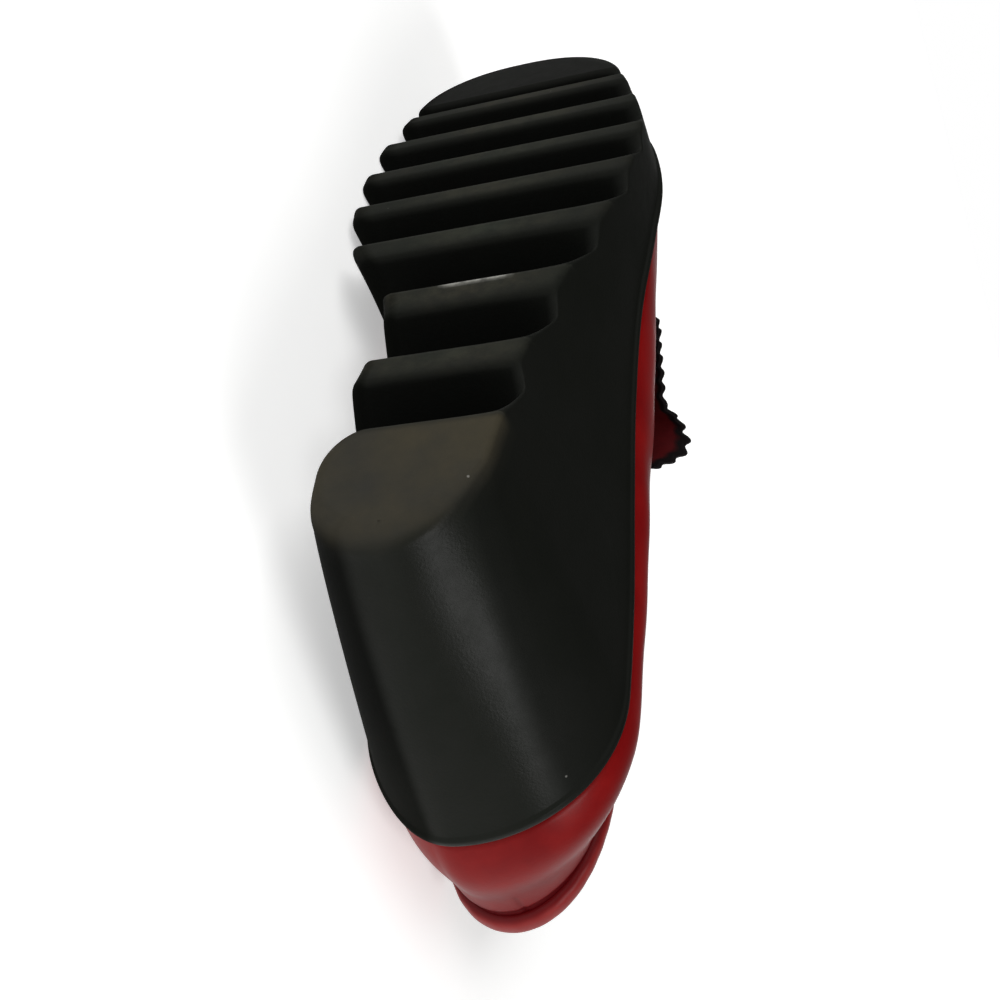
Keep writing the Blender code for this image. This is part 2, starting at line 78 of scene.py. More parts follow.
# The lip's rounded section: how far in from its edge, and how far up from its foot
LIP_PROFILE = ((0.85, 0.18), (0.55, 0.5), (0.2, 0.8), (0.03, 1.1), (0.0, 1.5),
               (0.0, 2.1), (0.06, 2.6), (0.25, 2.95), (0.6, 3.15), (1.1, 3.2))
SOLE_COLUMNS = ("station", "middle", "lip_out", "lip_in", "tread_out", "tread_in", "bed")
SOLE_ROWS = (
    (0.0, -6.0, 31.0, -31.5, 19.5, -16.0, 76.8),
    (30.0, -0.5, 33.0, -33.2, 17.5, -19.8, 73.0),
    (60.0, 0.0, 33.6, -32.0, 19.5, -22.3, 66.8),
    (86.0, 0.5, 33.8, -29.5, 21.5, -20.0, 57.8),
    (112.0, 0.5, 34.8, -29.0, 27.3, -21.0, 46.2),
    (138.0, -0.5, 37.2, -35.0, 36.0, -36.5, 34.8),
    (160.0, -1.5, 40.8, -38.5, 40.2, -42.0, 27.6),
    (182.0, -3.0, 42.4, -39.0, 41.0, -43.6, 24.6),
    (204.0, -5.0, 39.2, -38.3, 36.8, -42.7, 24.6),
    (226.0, -7.0, 32.4, -35.5, 30.6, -38.8, 27.0),
    (258.0, -8.0, 22.0, -31.0, 20.0, -33.5, 31.5),
)
# Each bar's front edge, the length of its flat and the depth of the groove behind it
BAR_ROWS = (
    (259.0, 30.5, 8.5),
    (222.0, 6.5, 9.5),
    (201.5, 6.5, 10.0),
    (181.0, 6.5, 10.5),
    (161.0, 7.0, 11.5),
    (139.0, 8.5, 14.0),
    (114.0, 9.5, 16.0),
    (86.0, 9.5, 16.0),
    (58.5, 34.0, 0.0),
)
HEEL_FACE_FRONT = BAR_ROWS[-1][0]
GROOVE_BACK_LEAN = 0.32
GROOVE_ROOT = 1.6
GROOVE_STEP = 0.05
BAR_EDGE_ROUND = 0.5
# Each groove runs out at the outer side between these distances past the tread's edge
GROOVE_END = (-12.0, 7.0)
SOLE_STATIONS = 520
SOLE_ACROSS = 22
SOLE_WALL_ROWS = 26
BED_ACROSS = 6
# The shoe lies on its inner side: turns about the lying length and width, and the frame's place
LIE_ROLL = -8.9
LIE_PITCH = -0.18
SHOE_PLACE = (-128.77508516, 34.24288883, -63.38128326)


def columns(names, rows):
    """A table's rows as one array for each named column."""
    return dict(zip(names, np.array(rows, dtype=float).T))


def smooth(rows, column, at, key="station"):
    """Cubic pieces through a column's values: Hermite weights times values and shared slopes."""
    xs = rows[key]
    ys = rows[column]
    at = np.asarray(at, dtype=float)
    slope = np.gradient(ys, xs)
    k = np.clip(np.searchsorted(xs, at) - 1, 0, len(xs) - 2)
    step = xs[k + 1] - xs[k]
    t = np.clip((at - xs[k]) / step, 0.0, 1.0)
    start = (2 * t**3 - 3 * t**2 + 1) * ys[k] + (t**3 - 2 * t**2 + t) * step * slope[k]
    return start + (3 * t**2 - 2 * t**3) * ys[k + 1] + (t**3 - t**2) * step * slope[k + 1]


def cap(distance, size, power):
    """Share of the half width near a rounded end: (1 - (1 - distance / size)^power)^(1 / power)."""
    inside = np.clip(1.0 - distance / size, 0.0, 1.0)
    return (1.0 - inside**power) ** (1.0 / power)


def ease(low, high, at):
    """0 below low, 1 above high and 3t^2 - 2t^3 between them."""
    t = np.clip((at - low) / (high - low), 0.0, 1.0)
    return t * t * (3.0 - 2.0 * t)


def bell(off, width):
    """exp(-(off / width)^2): 1 in the middle, 0.37 at the width."""
    return np.exp(-((off / width) ** 2))


def unit(vectors):
    """Vectors along the last axis divided by their lengths."""
    return vectors / np.linalg.norm(vectors, axis=-1)[..., None]


def ring(outer, inner):
    """One closed loop: the outer side from heel to toe, then the inner side back to the heel."""
    return np.concatenate([outer, inner[-2:0:-1]])


def inset(loop, amount):
    """A clockwise plan loop moved inward by an amount along the normal of its own run."""
    run = unit(np.roll(loop, -1, axis=0) - np.roll(loop, 1, axis=0))
    return loop + np.column_stack([run[:, 1], -run[:, 0]]) * np.reshape(amount, (-1, 1))


SOLE = columns(SOLE_COLUMNS, SOLE_ROWS)
BARS = columns(("front", "flat", "groove"), BAR_ROWS)


def lip_plan(at):
    """The sole's top edge: middle line plus half widths, drawn in to an ellipse at heel and toe."""
    middle = smooth(SOLE, "middle", at)
    share = cap(at, HEEL_ROUND, 2.0) * cap(SOLE_LENGTH - at, TOE_ROUND, TOE_SQUARENESS)
    outer = middle + (smooth(SOLE, "lip_out", at) - middle) * share
    inner = middle + (smooth(SOLE, "lip_in", at) - middle) * share
    return ring(np.column_stack([at, outer]), np.column_stack([at, inner]))


def tread_side(column, x, heel):
    """One side of the tread's plan at stations x: half width times the caps of toe and heel."""
    middle = smooth(SOLE, "middle", x)
    share = cap(SOLE_LENGTH - x, TOE_ROUND, TOE_SQUARENESS) * cap(x - HEEL_TREAD_START, *heel)
    return np.column_stack([x, middle + (smooth(SOLE, column, x) - middle) * share])


def tread_plan(at):
    """The tread's edge beside the lip's columns: stations plus a tuck that fades forward of the heel."""
    left = np.clip(1.0 - at / HEEL_TUCK_RUN, 0.0, 1.0)
    tuck = HEEL_TREAD_START * left**HEEL_TUCK_POWER
    skew = HEEL_RIDGE_SKEW * np.sqrt(at / HEEL_TUCK_RUN) * left**HEEL_RIDGE_POWER
    outer = tread_side("tread_out", at + tuck + skew, HEEL_TREAD_OUT)
    inner = tread_side("tread_in", at + tuck, HEEL_TREAD_IN)
    return ring(outer, inner)


def tread_height(x):
    """Ground side: zero under heel and ball, a sine squared arch and a square law up to the toe."""
    spring = np.clip((x - TOE_SPRING_START) / (SOLE_LENGTH - TOE_SPRING_START), 0.0, None)
    arch = np.clip((x - ARCH_SPAN[0]) / (ARCH_SPAN[1] - ARCH_SPAN[0]), 0.0, 1.0)
    return TOE_SPRING * spring**2 + ARCH_RISE * np.sin(math.pi * arch) ** 2


def groove_table():
    """Depth of the grooves along x: straight pieces between bar edges and roots, blurred by a bell."""
    front_side = BARS["front"][:-1] - BARS["flat"][:-1]
    rear_side = BARS["front"][1:]
    depth = BARS["groove"][:-1]
    root = 0.5 * (tread_height(front_side) + tread_height(rear_side)) + depth
    root_front = front_side - GROOVE_BACK_LEAN * depth
    root_rear = root_front - GROOVE_ROOT
    knots = np.stack([rear_side, root_rear, root_front, front_side], axis=1)
    zero = np.zeros(len(depth))
    deep = np.stack([zero, root - tread_height(root_rear), root - tread_height(root_front), zero], axis=1)
    order = np.argsort(knots.ravel())
    fine = np.arange(-10.0, SOLE_LENGTH + 12.0, GROOVE_STEP)
    line = np.interp(fine, knots.ravel()[order], deep.ravel()[order])
    blur = np.exp(-0.5 * (np.arange(-2.0, 2.0001, GROOVE_STEP) / BAR_EDGE_ROUND) ** 2)
    return fine, np.convolve(line, blur / blur.sum(), mode="same")


GROOVE_AT, GROOVE_DEEP = groove_table()
GROOVE_TURN = np.gradient(np.gradient(GROOVE_DEEP, GROOVE_AT), GROOVE_AT)
EDGE_AT = np.linspace(HEEL_TREAD_START, SOLE_LENGTH, 1200)
EDGE_OUT = tread_side("tread_out", EDGE_AT, HEEL_TREAD_OUT)[:, 1]


def ground_line(x, y):
    """Height of the underside: ground side plus groove depth, eased to nothing at the outer edge."""
    left = 1.0 - ease(*GROOVE_END, y - np.interp(x, EDGE_AT, EDGE_OUT))
    return tread_height(x) + np.interp(x, GROOVE_AT, GROOVE_DEEP) * left


def even_stations(count):
    """Stations at equal steps of lip length plus groove rise, so that steep faces get columns too."""
    at = SOLE_LENGTH * 0.5 * (1.0 - np.cos(np.linspace(0.0, math.pi, 20001)))
    half = len(at)
    lip = np.linalg.norm(np.diff(lip_plan(at)[:half], axis=0), axis=1)
    rise = np.abs(np.diff(ground_line(tread_plan(at)[:half, 0], 0.0)))
    run = np.concatenate([[0.0], np.cumsum(lip + rise)])
    return np.interp(np.linspace(0.0, run[-1], count + 1), run, at)


def lay(points):
    """Shoe millimetres to world metres: the points laid outer side up, then turned and put in place."""
    flat = Matrix(((-1, 0, 0), (0, 0, 1), (0, 1, 0))).to_4x4()
    roll = Matrix.Rotation(math.radians(LIE_ROLL), 4, "X")
    pitch = Matrix.Rotation(math.radians(LIE_PITCH), 4, "Y")
    turn = np.array((pitch @ roll @ flat).to_3x3())
    return (points + np.array(SHOE_PLACE)) @ turn.T * 0.001


def ring_faces(count_rings, count):
    """Four corners of every face between neighbouring closed rings: up the grid, then round it."""
    index = np.arange(count_rings * count).reshape(count_rings, count)
    nxt = np.roll(index, -1, axis=1)
    return np.stack([index[:-1], index[1:], nxt[1:], nxt[:-1]], axis=-1).reshape(-1, 4)


def sheet_faces(index):
    """Four corners of every face of an open grid of point numbers."""
    corners = [index[:-1, :-1], index[:-1, 1:], index[1:, 1:], index[1:, :-1]]
    return np.stack(corners, axis=-1).reshape(-1, 4)


def across(loop, first, offset, share):
    """Points and faces that close a ring: straight lines from its outer to its inner columns."""
    half = len(loop) // 2
    outer = loop[: half + 1]
    inner = loop[(-np.arange(half + 1)) % len(loop)]
    inside = share[1:-1]
    points = outer[:, None] + (inner - outer)[:, None] * inside[None, :, None]
    middle = offset + np.arange((half + 1) * len(inside)).reshape(half + 1, -1)
    left = first + np.arange(half + 1)[:, None]
    right = first + ((-np.arange(half + 1)) % len(loop))[:, None]
    return points.reshape(-1, 3), sheet_faces(np.hstack([left, middle, right]))


def piece(name, points, faces, marks, finishes):
    """A closed mesh of points laid in the world: doubles merged, faces outward and smooth, marks kept."""
    mesh = bpy.data.meshes.new(name)
    mesh.from_pydata(lay(points).tolist(), [], [face for part in faces for face in part.tolist()])
    for mark, values in marks.items():
        layer = mesh.attributes.new(mark, "FLOAT", "POINT")
        layer.data.foreach_set("value", np.asarray(values, dtype=np.float32))
    bm = bmesh.new()
    bm.from_mesh(mesh)
    bmesh.ops.remove_doubles(bm, verts=bm.verts, dist=2e-7)
    bmesh.ops.recalc_face_normals(bm, faces=bm.faces)
    bm.to_mesh(mesh)
    bm.free()
    mesh.polygons.foreach_set("use_smooth", np.ones(len(mesh.polygons), dtype=bool))
    for finish in finishes:
        mesh.materials.append(finish)
    made = bpy.data.objects.new(name, mesh)
    bpy.context.scene.collection.objects.link(made)
    return made


def wedge():
    """The sole's rings from ground to foot bed: fillet, leaning wall, lip, then both sides closed.

    A wall point is tread + (under lip - tread) * t^bulge at height low + (top - low) * t, and each
    column starts at the t where that height first clears the ground line, so grooves cut the wall.
    The last two arrays give each wall point its column's station, negative on the inner side, and
    its share of the way up from the tread to the lip.
    """
    at = even_stations(SOLE_STATIONS)
    lip = lip_plan(at)
    tread = tread_plan(at)
    bed = smooth(SOLE, "bed", ring(at, at))
    under = inset(lip, LIP_STEP)
    top = bed - LIP_HEIGHT
    back = 1.0 - ease(*HEEL_BACK_FADE, tread[:, 0])
    inner = np.arange(len(lip)) >= len(at)
    ends = inner * ease(*BAR_ENDS_IN, tread[:, 0]) * (1.0 - ease(*BAR_ENDS_OUT, tread[:, 0]))
    tread = inset(tread, -BAR_END_SWELL * ends)
    edge = EDGE_ROUND + (HEEL_BACK_ROUND - EDGE_ROUND) * back + (BAR_END_ROUND - EDGE_ROUND) * ends
    low = tread_height(tread[:, 0]) + EDGE_ROUND
    t = np.linspace(0.0, 0.9, 361)[:, None]
    x = tread[:, 0] + (under - tread)[:, 0] * t**WALL_BULGE
    y = tread[:, 1] + (under - tread)[:, 1] * t**WALL_BULGE
    clear = low + (top - low) * t - ground_line(x, y) - edge
    k = np.argmax(clear >= -1e-9, axis=0)
    n = np.arange(len(lip))
    before = np.maximum(k - 1, 0)
    part = np.where(k > 0, -clear[before, n] / np.maximum(clear[k, n] - clear[before, n], 1e-9), 0.0)
    start = t[before, 0] + (t[k, 0] - t[before, 0]) * part
    t = start + (1.0 - start) * np.linspace(0.0, 1.0, SOLE_WALL_ROWS)[:, None]
    plan = tread + (under - tread) * t[..., None] ** WALL_BULGE
    wall = np.concatenate([plan, (low + (top - low) * t)[..., None]], axis=-1)
    angle = np.radians(np.linspace(90.0, 0.0, 8)[:-1])[:, None]
    inward = inset(tread, 1.0) - tread
    plan = wall[0, :, :2] + inward * (edge * (1.0 - np.cos(angle)))[..., None]
    height = ground_line(plan[..., 0], plan[..., 1]) + edge * (1.0 - np.sin(angle))
    fillet = np.concatenate([plan, height[..., None]], axis=-1)
    rim = np.stack([np.column_stack([inset(lip, off), top + up]) for off, up in LIP_PROFILE])
    rings = np.concatenate([fillet, wall, rim])
    front = HEEL_FACE_FRONT + HEEL_FRONT_LEAN * rings[..., 2]
    past = np.clip((rings[..., 0] - front) / HEEL_CORNER[0] + 1.0, 0.0, 1.0)
    drawn = HEEL_CORNER[1] * (1.0 - np.sqrt(1.0 - past**2)) * (rings[..., 0] < HEEL_GROOVE)
    rings[..., 1] += inner * drawn * (1.0 - ease(*HEEL_CORNER_FADE, rings[..., 2]))
    count = len(lip)
    points = rings.reshape(-1, 3)
    under_points, under_faces = across(rings[0], 0, len(points), np.linspace(0.0, 1.0, SOLE_ACROSS + 1))
    under_points[:, 2] = ground_line(under_points[:, 0], under_points[:, 1])
    points = np.concatenate([points, under_points])
    last = (len(rings) - 1) * count
    bed_points, bed_faces = across(rings[-1], last, len(points), np.linspace(0.0, 1.0, BED_ACROSS + 1))
    points = np.concatenate([points, bed_points])
    station = ring(at, at) * np.where(np.arange(count) < len(at), 1.0, -1.0)
    climb = np.concatenate([np.zeros(len(fillet)), np.linspace(0.0, 1.0, len(wall)), np.ones(len(rim))])
    rest = np.zeros(len(points) - len(rings) * count)
    column = np.concatenate([np.tile(station, len(rings)), rest])
    climb = np.concatenate([np.repeat(climb, count), rest])
    return points, [ring_faces(len(rings), count), under_faces, bed_faces], column, climb


def linear(colour):
    """An sRGB hex colour as linear RGBA."""
    part = np.array([int(colour[k:k + 2], 16) for k in (1, 3, 5)]) / 255.0
    light = np.where(part <= 0.04045, part / 12.92, ((part + 0.055) / 1.055) ** 2.4)
    return (*light.tolist(), 1.0)


def join(tree, node, inputs):
    """A node's inputs, by name or number, linked to sockets or set to values."""
    for name, value in inputs.items():
        if isinstance(value, bpy.types.NodeSocket):
            tree.links.new(value, node.inputs[name])
        else:
            node.inputs[name].default_value = value


def add(tree, kind, inputs=None, **settings):
    """One new node with its settings and its inputs."""
    made = tree.nodes.new(kind)
    for name, value in settings.items():
        setattr(made, name, value)
    join(tree, made, inputs or {})
    return made


def start_finish(name):
    """A new material with an empty node tree, its shader and its output joined."""
    made = bpy.data.materials.new(name)
    made.use_nodes = True
    tree = made.node_tree
    tree.nodes.clear()
    shader = add(tree, "ShaderNodeBsdfPrincipled")
    add(tree, "ShaderNodeOutputMaterial", {"Surface": shader.outputs["BSDF"]})
    return made, tree, shader


# Moulded black rubber: a deep green black with a satin skin on the heel, dull on the sides and in the
# grooves, with painted shade on the heel's sides, in the grooves, on the rear of each bar and on the toe
# pad, dusty and browner where the ground has rubbed it, with a fine cast grain and lint.
# Here and in the other finishes a texture's scale is 1000 over the millimetres of one blotch or grain.
rubber, tree, shader = start_finish("moulded_black_rubber")
place = add(tree, "ShaderNodeTexCoord").outputs["Object"]
cloud = add(tree, "ShaderNodeTexNoise", {"Vector": place, "Scale": 1000 / 22.0, "Detail": 5.0,
                                         "Roughness": 0.6})
dust = add(tree, "ShaderNodeTexNoise", {"Vector": place, "Scale": 1000 / 5.0, "Detail": 6.0,
                                        "Roughness": 0.7})
grain = add(tree, "ShaderNodeTexNoise", {"Vector": place, "Scale": 1000 / 0.7, "Detail": 2.0,
                                         "Roughness": 0.6})
speck = add(tree, "ShaderNodeTexVoronoi", {"Vector": place, "Scale": 1000 / 9.0, "Randomness": 1.0})
mark = {name: add(tree, "ShaderNodeAttribute", attribute_name=name).outputs["Fac"]
        for name in ("dark", "dull", "wear", "heel_wear", "rubbed_edge", "pale_streak")}
cloud_ramp = add(tree, "ShaderNodeMapRange", {"Value": cloud.outputs["Fac"], "From Min": 0.3,
                                              "From Max": 0.7})
dust_ramp = add(tree, "ShaderNodeMapRange", {"Value": dust.outputs["Fac"], "From Min": 0.38,
                                             "From Max": 0.62, "To Min": 0.3, "To Max": 1.0})
base = add(tree, "ShaderNodeMix", {"Factor": cloud_ramp.outputs["Result"], "A": linear("#151713"),
                                   "B": linear("#1a1b18")}, data_type="RGBA")
# Painted shade: blackened on the heel's sides, in the grooves, on the rear of each bar and on the toe pad
base = add(tree, "ShaderNodeMix", {"Factor": mark["dark"], "A": base.outputs["Result"],
                                   "B": linear("#060705")}, data_type="RGBA")
flat_part = add(tree, "ShaderNodeMath", {0: mark["wear"], 1: dust_ramp.outputs["Result"]},
                operation="MULTIPLY")
flat_tone = add(tree, "ShaderNodeMix", {"Factor": cloud_ramp.outputs["Result"], "A": linear("#252822"),
                                        "B": linear("#2d2b23")}, data_type="RGBA")
base = add(tree, "ShaderNodeMix", {"Factor": flat_part.outputs["Value"], "A": base.outputs["Result"],
                                   "B": flat_tone.outputs["Result"]}, data_type="RGBA")
heel_ramp = add(tree, "ShaderNodeMapRange", {"Value": dust.outputs["Fac"], "From Min": 0.3,
                                             "From Max": 0.7, "To Min": 0.8, "To Max": 1.0})
heel_part = add(tree, "ShaderNodeMath", {0: mark["heel_wear"], 1: heel_ramp.outputs["Result"]},
                operation="MULTIPLY")
heel_tone = add(tree, "ShaderNodeMix", {"Factor": cloud_ramp.outputs["Result"], "A": linear("#2c2b27"),
                                        "B": linear("#373328")}, data_type="RGBA")
base = add(tree, "ShaderNodeMix", {"Factor": heel_part.outputs["Value"], "A": base.outputs["Result"],
                                   "B": heel_tone.outputs["Result"]}, data_type="RGBA")
base = add(tree, "ShaderNodeMix", {"Factor": mark["rubbed_edge"], "A": base.outputs["Result"],
                                   "B": linear("#2c2d29")}, data_type="RGBA")
lint_size = add(tree, "ShaderNodeMapRange", {"Value": speck.outputs["Distance"], "From Min": 0.02,
                                             "From Max": 0.04, "To Min": 0.35, "To Max": 0.0})
lint_draw = add(tree, "ShaderNodeSeparateColor", {"Color": speck.outputs["Color"]})
lint_pick = add(tree, "ShaderNodeMath", {0: lint_draw.outputs["Red"], 1: 0.86}, operation="GREATER_THAN")
lint = add(tree, "ShaderNodeMath", {0: lint_size.outputs["Result"], 1: lint_pick.outputs["Value"]},
           operation="MULTIPLY")
pale_part = add(tree, "ShaderNodeMath", {0: mark["pale_streak"], 1: dust_ramp.outputs["Result"],
                                         2: lint.outputs["Value"]}, operation="MULTIPLY_ADD", use_clamp=True)
base = add(tree, "ShaderNodeMix", {"Factor": pale_part.outputs["Value"], "A": base.outputs["Result"],
                                   "B": linear("#a3a29c")}, data_type="RGBA")
gloss = add(tree, "ShaderNodeMapRange", {"Value": dust.outputs["Fac"], "From Min": 0.3, "From Max": 0.7,
                                         "To Min": 0.28, "To Max": 0.36})
gloss = add(tree, "ShaderNodeMath", {0: mark["dull"], 1: 0.6, 2: gloss.outputs["Result"]},
            operation="MULTIPLY_ADD", use_clamp=True)
bump = add(tree, "ShaderNodeBump", {"Height": grain.outputs["Fac"], "Strength": 0.22, "Distance": 0.0002})
join(tree, shader, {"Base Color": base.outputs["Result"], "Roughness": gloss.outputs["Value"],
                    "Normal": bump.outputs["Normal"], "IOR": 1.5, "Specular IOR Level": 0.07})

# Stations where the rubber is marked: where the heel's wear ends and the dust past it starts, the toe
# pad, which gets painted shade and no dust, and where the heel's inner side ends, counted negative;
# behind it the painted shade on the inner side thins out towards the lip
HEEL_WEAR_END = (56.0, 59.5)
DUST_START = 58.0
TOE_PAD_REAR = 225.0
TOE_PAD_SHADE = (218.0, 232.0)
TOE_PAD_CLEAN = (216.0, 232.0)
HEEL_SIDE_END = -30.0
# Half width of the dust, and the pale streak along the first lug's edge: its station, width and two ends
# across
DUST_HALF_WIDTH = 34.0
STREAK_EDGE = 113.6
STREAK_WIDTH = 0.9
STREAK_IN = (-7.0, -4.0)
STREAK_OUT = (9.0, 13.0)

points, faces, column, climb = wedge()
x, y, z = points.T
above = z - tread_height(x)
deep = 1.0 - bell(above, 1.0)
# The lit back of the heel ends at its outer ridge and at the turn to its inner side, and past them the
# sides get painted shade; both are stations that move with the climb from tread to lip
ridge = 2.0 + 4.0 * climb
turn_in = 5.0 - 3.6 * climb
inner_side = ease(0.0, 1.0, -column / turn_in)
side_shade = np.where(column > 0.0, 0.5 * ease(0.0, 1.0, (column - ridge) / (3.2 + 3.2 * climb)),
                     inner_side * (1.0 - 0.5 * ease(0.45, 0.95, climb) * (column > HEEL_SIDE_END)))
# Each bar's dust is thickest behind its front edge and thins out to its outer ends and, standing in for
# shade, to its rear; painted shade also darkens the rear of each flat, the grooves and the toe pad
bar_front = BARS["front"][::-1]
number = np.minimum(np.searchsorted(bar_front, x), len(bar_front) - 1)
back_share = np.clip((bar_front[number] - x) / BARS["flat"][::-1][number], 0.0, 1.0) * (x < TOE_PAD_REAR)
rear_shade = np.maximum(deep, 0.55 * ease(0.45, 1.0, back_share))
under_shade = np.maximum(rear_shade, 0.85 * ease(*TOE_PAD_SHADE, x)) * (x > HEEL_FACE_FRONT)
painted_shade_mark = np.where(column == 0.0, under_shade, side_shade)
dull_mark = np.maximum(np.maximum(painted_shade_mark, 1.2 * inner_side), 0.9 * bell(above, 2.0))
flat_mark = bell(above, 0.9) * (0.25 + 0.75 * ease(-DUST_HALF_WIDTH, 0.0, -np.abs(y)))
flat_mark = flat_mark * (1.0 - ease(*TOE_PAD_CLEAN, x)) * (1.0 - 0.8 * ease(0.4, 1.0, back_share))
heel_mark = bell(above, 2.6) * (1.0 - ease(*HEEL_WEAR_END, x))
edge_mark = np.clip(np.interp(x, GROOVE_AT, GROOVE_TURN) / 1.5, 0.0, 1.0) * bell(above, 1.5) * 0.5
edge_mark = edge_mark * (back_share < 0.5) * (x < TOE_PAD_REAR)
pale_streak_mark = bell(x - STREAK_EDGE, STREAK_WIDTH) * ease(*STREAK_IN, y) * (1.0 - ease(*STREAK_OUT, y))
pale_streak_mark = pale_streak_mark * bell(above, 2.0)
sole_marks = {"dark": painted_shade_mark, "dull": dull_mark, "wear": flat_mark * (x > DUST_START),
              "heel_wear": heel_mark, "rubbed_edge": edge_mark, "pale_streak": pale_streak_mark}
sole = piece("rubber_sole", points, faces, sole_marks, [rubber])
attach(sole, "root")
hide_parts("sole_unit")


# Upper. Smooth red leather drawn over a last and cemented to the lip: vamp, quarters and heel in one
# skin with a seam down the back, a lining of plain tan leather inside, open at the topline.
REVEAL = 2.0
WALL = 2.6
SEAM_GAP = 0.3
UPPER_COLUMNS = ("station", "along", "rim_out", "rim_in", "height",
                 "rise", "shoulder", "drop", "bulge_out", "bulge_in")
UPPER_ROWS = (
    (0.0, 3.2, 20.0, -20.5, 115.5, 0.50, 0.20, 0.40, 6.5, 4.0),
    (30.0, 29.0, 20.5, -21.0, 106.5, 0.50, 0.20, 0.40, 7.0, 3.5),
    (60.0, 58.0, 24.5, -24.0, 98.0, 0.50, 0.20, 0.40, 8.0, 3.5),
    (86.0, 83.0, 26.0, -24.5, 92.5, 0.50, 0.22, 0.38, 8.5, 5.0),
    (108.0, 104.0, 25.0, -24.0, 91.0, 0.50, 0.26, 0.34, 8.5, 6.0),
    (126.0, 121.0, 19.5, -19.5, 91.8, 0.50, 0.36, 0.24, 9.0, 4.0),
    (138.0, 130.5, 10.5, -11.5, 92.2, 0.50, 0.50, 0.10, 8.0, 2.0),
    (146.0, 134.5, 0.0, 0.0, 92.0, 0.50, 0.58, 0.03, 6.0, 0.5),
    (160.0, 148.0, 0.0, 0.0, 83.0, 0.52, 0.60, 0.0, 1.5, -1.5),
    (182.0, 172.0, 0.0, 0.0, 69.0, 0.55, 0.62, 0.0, -3.0, -3.0),
    (204.0, 195.5, 0.0, 0.0, 60.0, 0.58, 0.64, 0.0, -3.0, -3.0),
    (226.0, 217.0, 0.0, 0.0, 53.5, 0.60, 0.66, 0.0, -1.5, -2.0),
    (258.0, 239.0, 0.0, 0.0, 48.0, 0.62, 0.68, 0.0, 0.5, 0.0),
)
UPPER = columns(UPPER_COLUMNS, UPPER_ROWS)
UPPER["rim_out_square"] = UPPER["rim_out"] ** 2
UPPER["rim_in_square"] = UPPER["rim_in"] ** 2
THROAT_STATION = 146.0
RIM_ROUND = 25.0
UPPER_STATIONS = 300
UPPER_UP = 72
# Length along the lip over which the two sides take on their own swell at heel and toe
SWELL_BLEND = (0.0, 2.0)
# How steeply the crest falls in front of the throat: station and slope
CREST_FALL = ((146.0, -0.4), (160.0, -0.63), (182.0, -0.48), (204.0, -0.34), (226.0, -0.27), (258.0, -0.2))
# Back seam: depth, half width, shares of the wall's height where it comes in, and its length forward
SEAM_DEPTH = 0.25
SEAM_HALF_WIDTH = 0.7
SEAM_SPAN = (0.66, 0.78)
SEAM_FORWARD = 20.0
# Tuck above the lip and groove under the collar: depth and shares of the wall's height, and the stations
# over which the groove runs out towards the throat
TUCK_DEPTH = 0.7
TUCK_SPAN = (0.0, 0.045)
TOPLINE_GROOVE = 0.7
TOPLINE_GROOVE_SPAN = (0.91, 0.965)
TOPLINE_GROOVE_END = (126.0, 142.0)
# Flex creases over the ball: station at the crest, depth, half width and how far they sweep back
CREASES = ((186.0, 0.5, 2.6, 10.0), (195.5, 0.65, 3.0, 13.0), (207.0, 0.4, 2.6, 12.0))
# How far a crease wanders, where it comes in up the wall, and its ridge as a share of its depth
CREASE_WANDER = 1.6
CREASE_SPAN = (0.18, 0.5)
CREASE_RIDGE = 0.55
# The slow unevenness and where it comes in, then how much of all relief dies away at the crest
UNEVEN_DEPTH = 0.22
UNEVEN_SPAN = (0.05, 0.3)
CREST_CALM = 0.85
CREST_CALM_SPAN = (0.94, 1.0)


def last_skin(at, up):
    """The upper's outer face: in each column a cubic Bezier from the lip, upright, in to the rim.

    Half the topline's width is the root of its squared table, so that the throat closes round, and
    the inner side takes over the outer side's swell where the two meet at heel and toe.
    """
    loop = ring(at, at)
    lip = lip_plan(at)
    start = np.column_stack([inset(lip, REVEAL), smooth(SOLE, "bed", loop) + SEAM_GAP])
    outer_side = np.arange(len(loop)) < len(at)
    along = smooth(UPPER, "along", loop)
    crest = np.interp(along, SOLE["station"], SOLE["middle"])
    out = np.sqrt(np.clip(smooth(UPPER, "rim_out_square", loop), 0.0, None))
    inn = -np.sqrt(np.clip(smooth(UPPER, "rim_in_square", loop), 0.0, None))
    width = np.where(outer_side, out, inn) * (loop < THROAT_STATION)
    rim_y = crest + width * cap(along - UPPER["along"][0], RIM_ROUND, 2.0)
    rim = np.column_stack([along, rim_y, smooth(UPPER, "height", loop)])
    tall = rim[:, 2] - start[:, 2]
    apart = ease(*SWELL_BLEND, loop) * ease(*SWELL_BLEND, SOLE_LENGTH - loop) * ~outer_side
    bulge = smooth(UPPER, "bulge_out", loop) * (1.0 - apart) + smooth(UPPER, "bulge_in", loop) * apart
    outward = (inset(lip, -1.0) - lip) * bulge[:, None]
    first = start + np.column_stack([outward, smooth(UPPER, "rise", loop) * tall])
    lean = (start - rim)[:, :2] * smooth(UPPER, "shoulder", loop)[:, None]
    second = rim + np.column_stack([lean, -smooth(UPPER, "drop", loop) * tall])
    v = up[:, None, None]
    w = 1.0 - v
    return w**3 * start + 3 * w**2 * v * first + 3 * w * v**2 * second + v**3 * rim


def skin_normals(rows):
    """Outward normals of a ring grid: cross product of its run round the shoe and its run upward."""
    run = np.roll(rows, -1, axis=1) - np.roll(rows, 1, axis=1)
    rise = np.gradient(rows, axis=0)
    normal = np.cross(rise, run)
    normal /= np.maximum(np.linalg.norm(normal, axis=2), 1e-9)[..., None]
    return normal


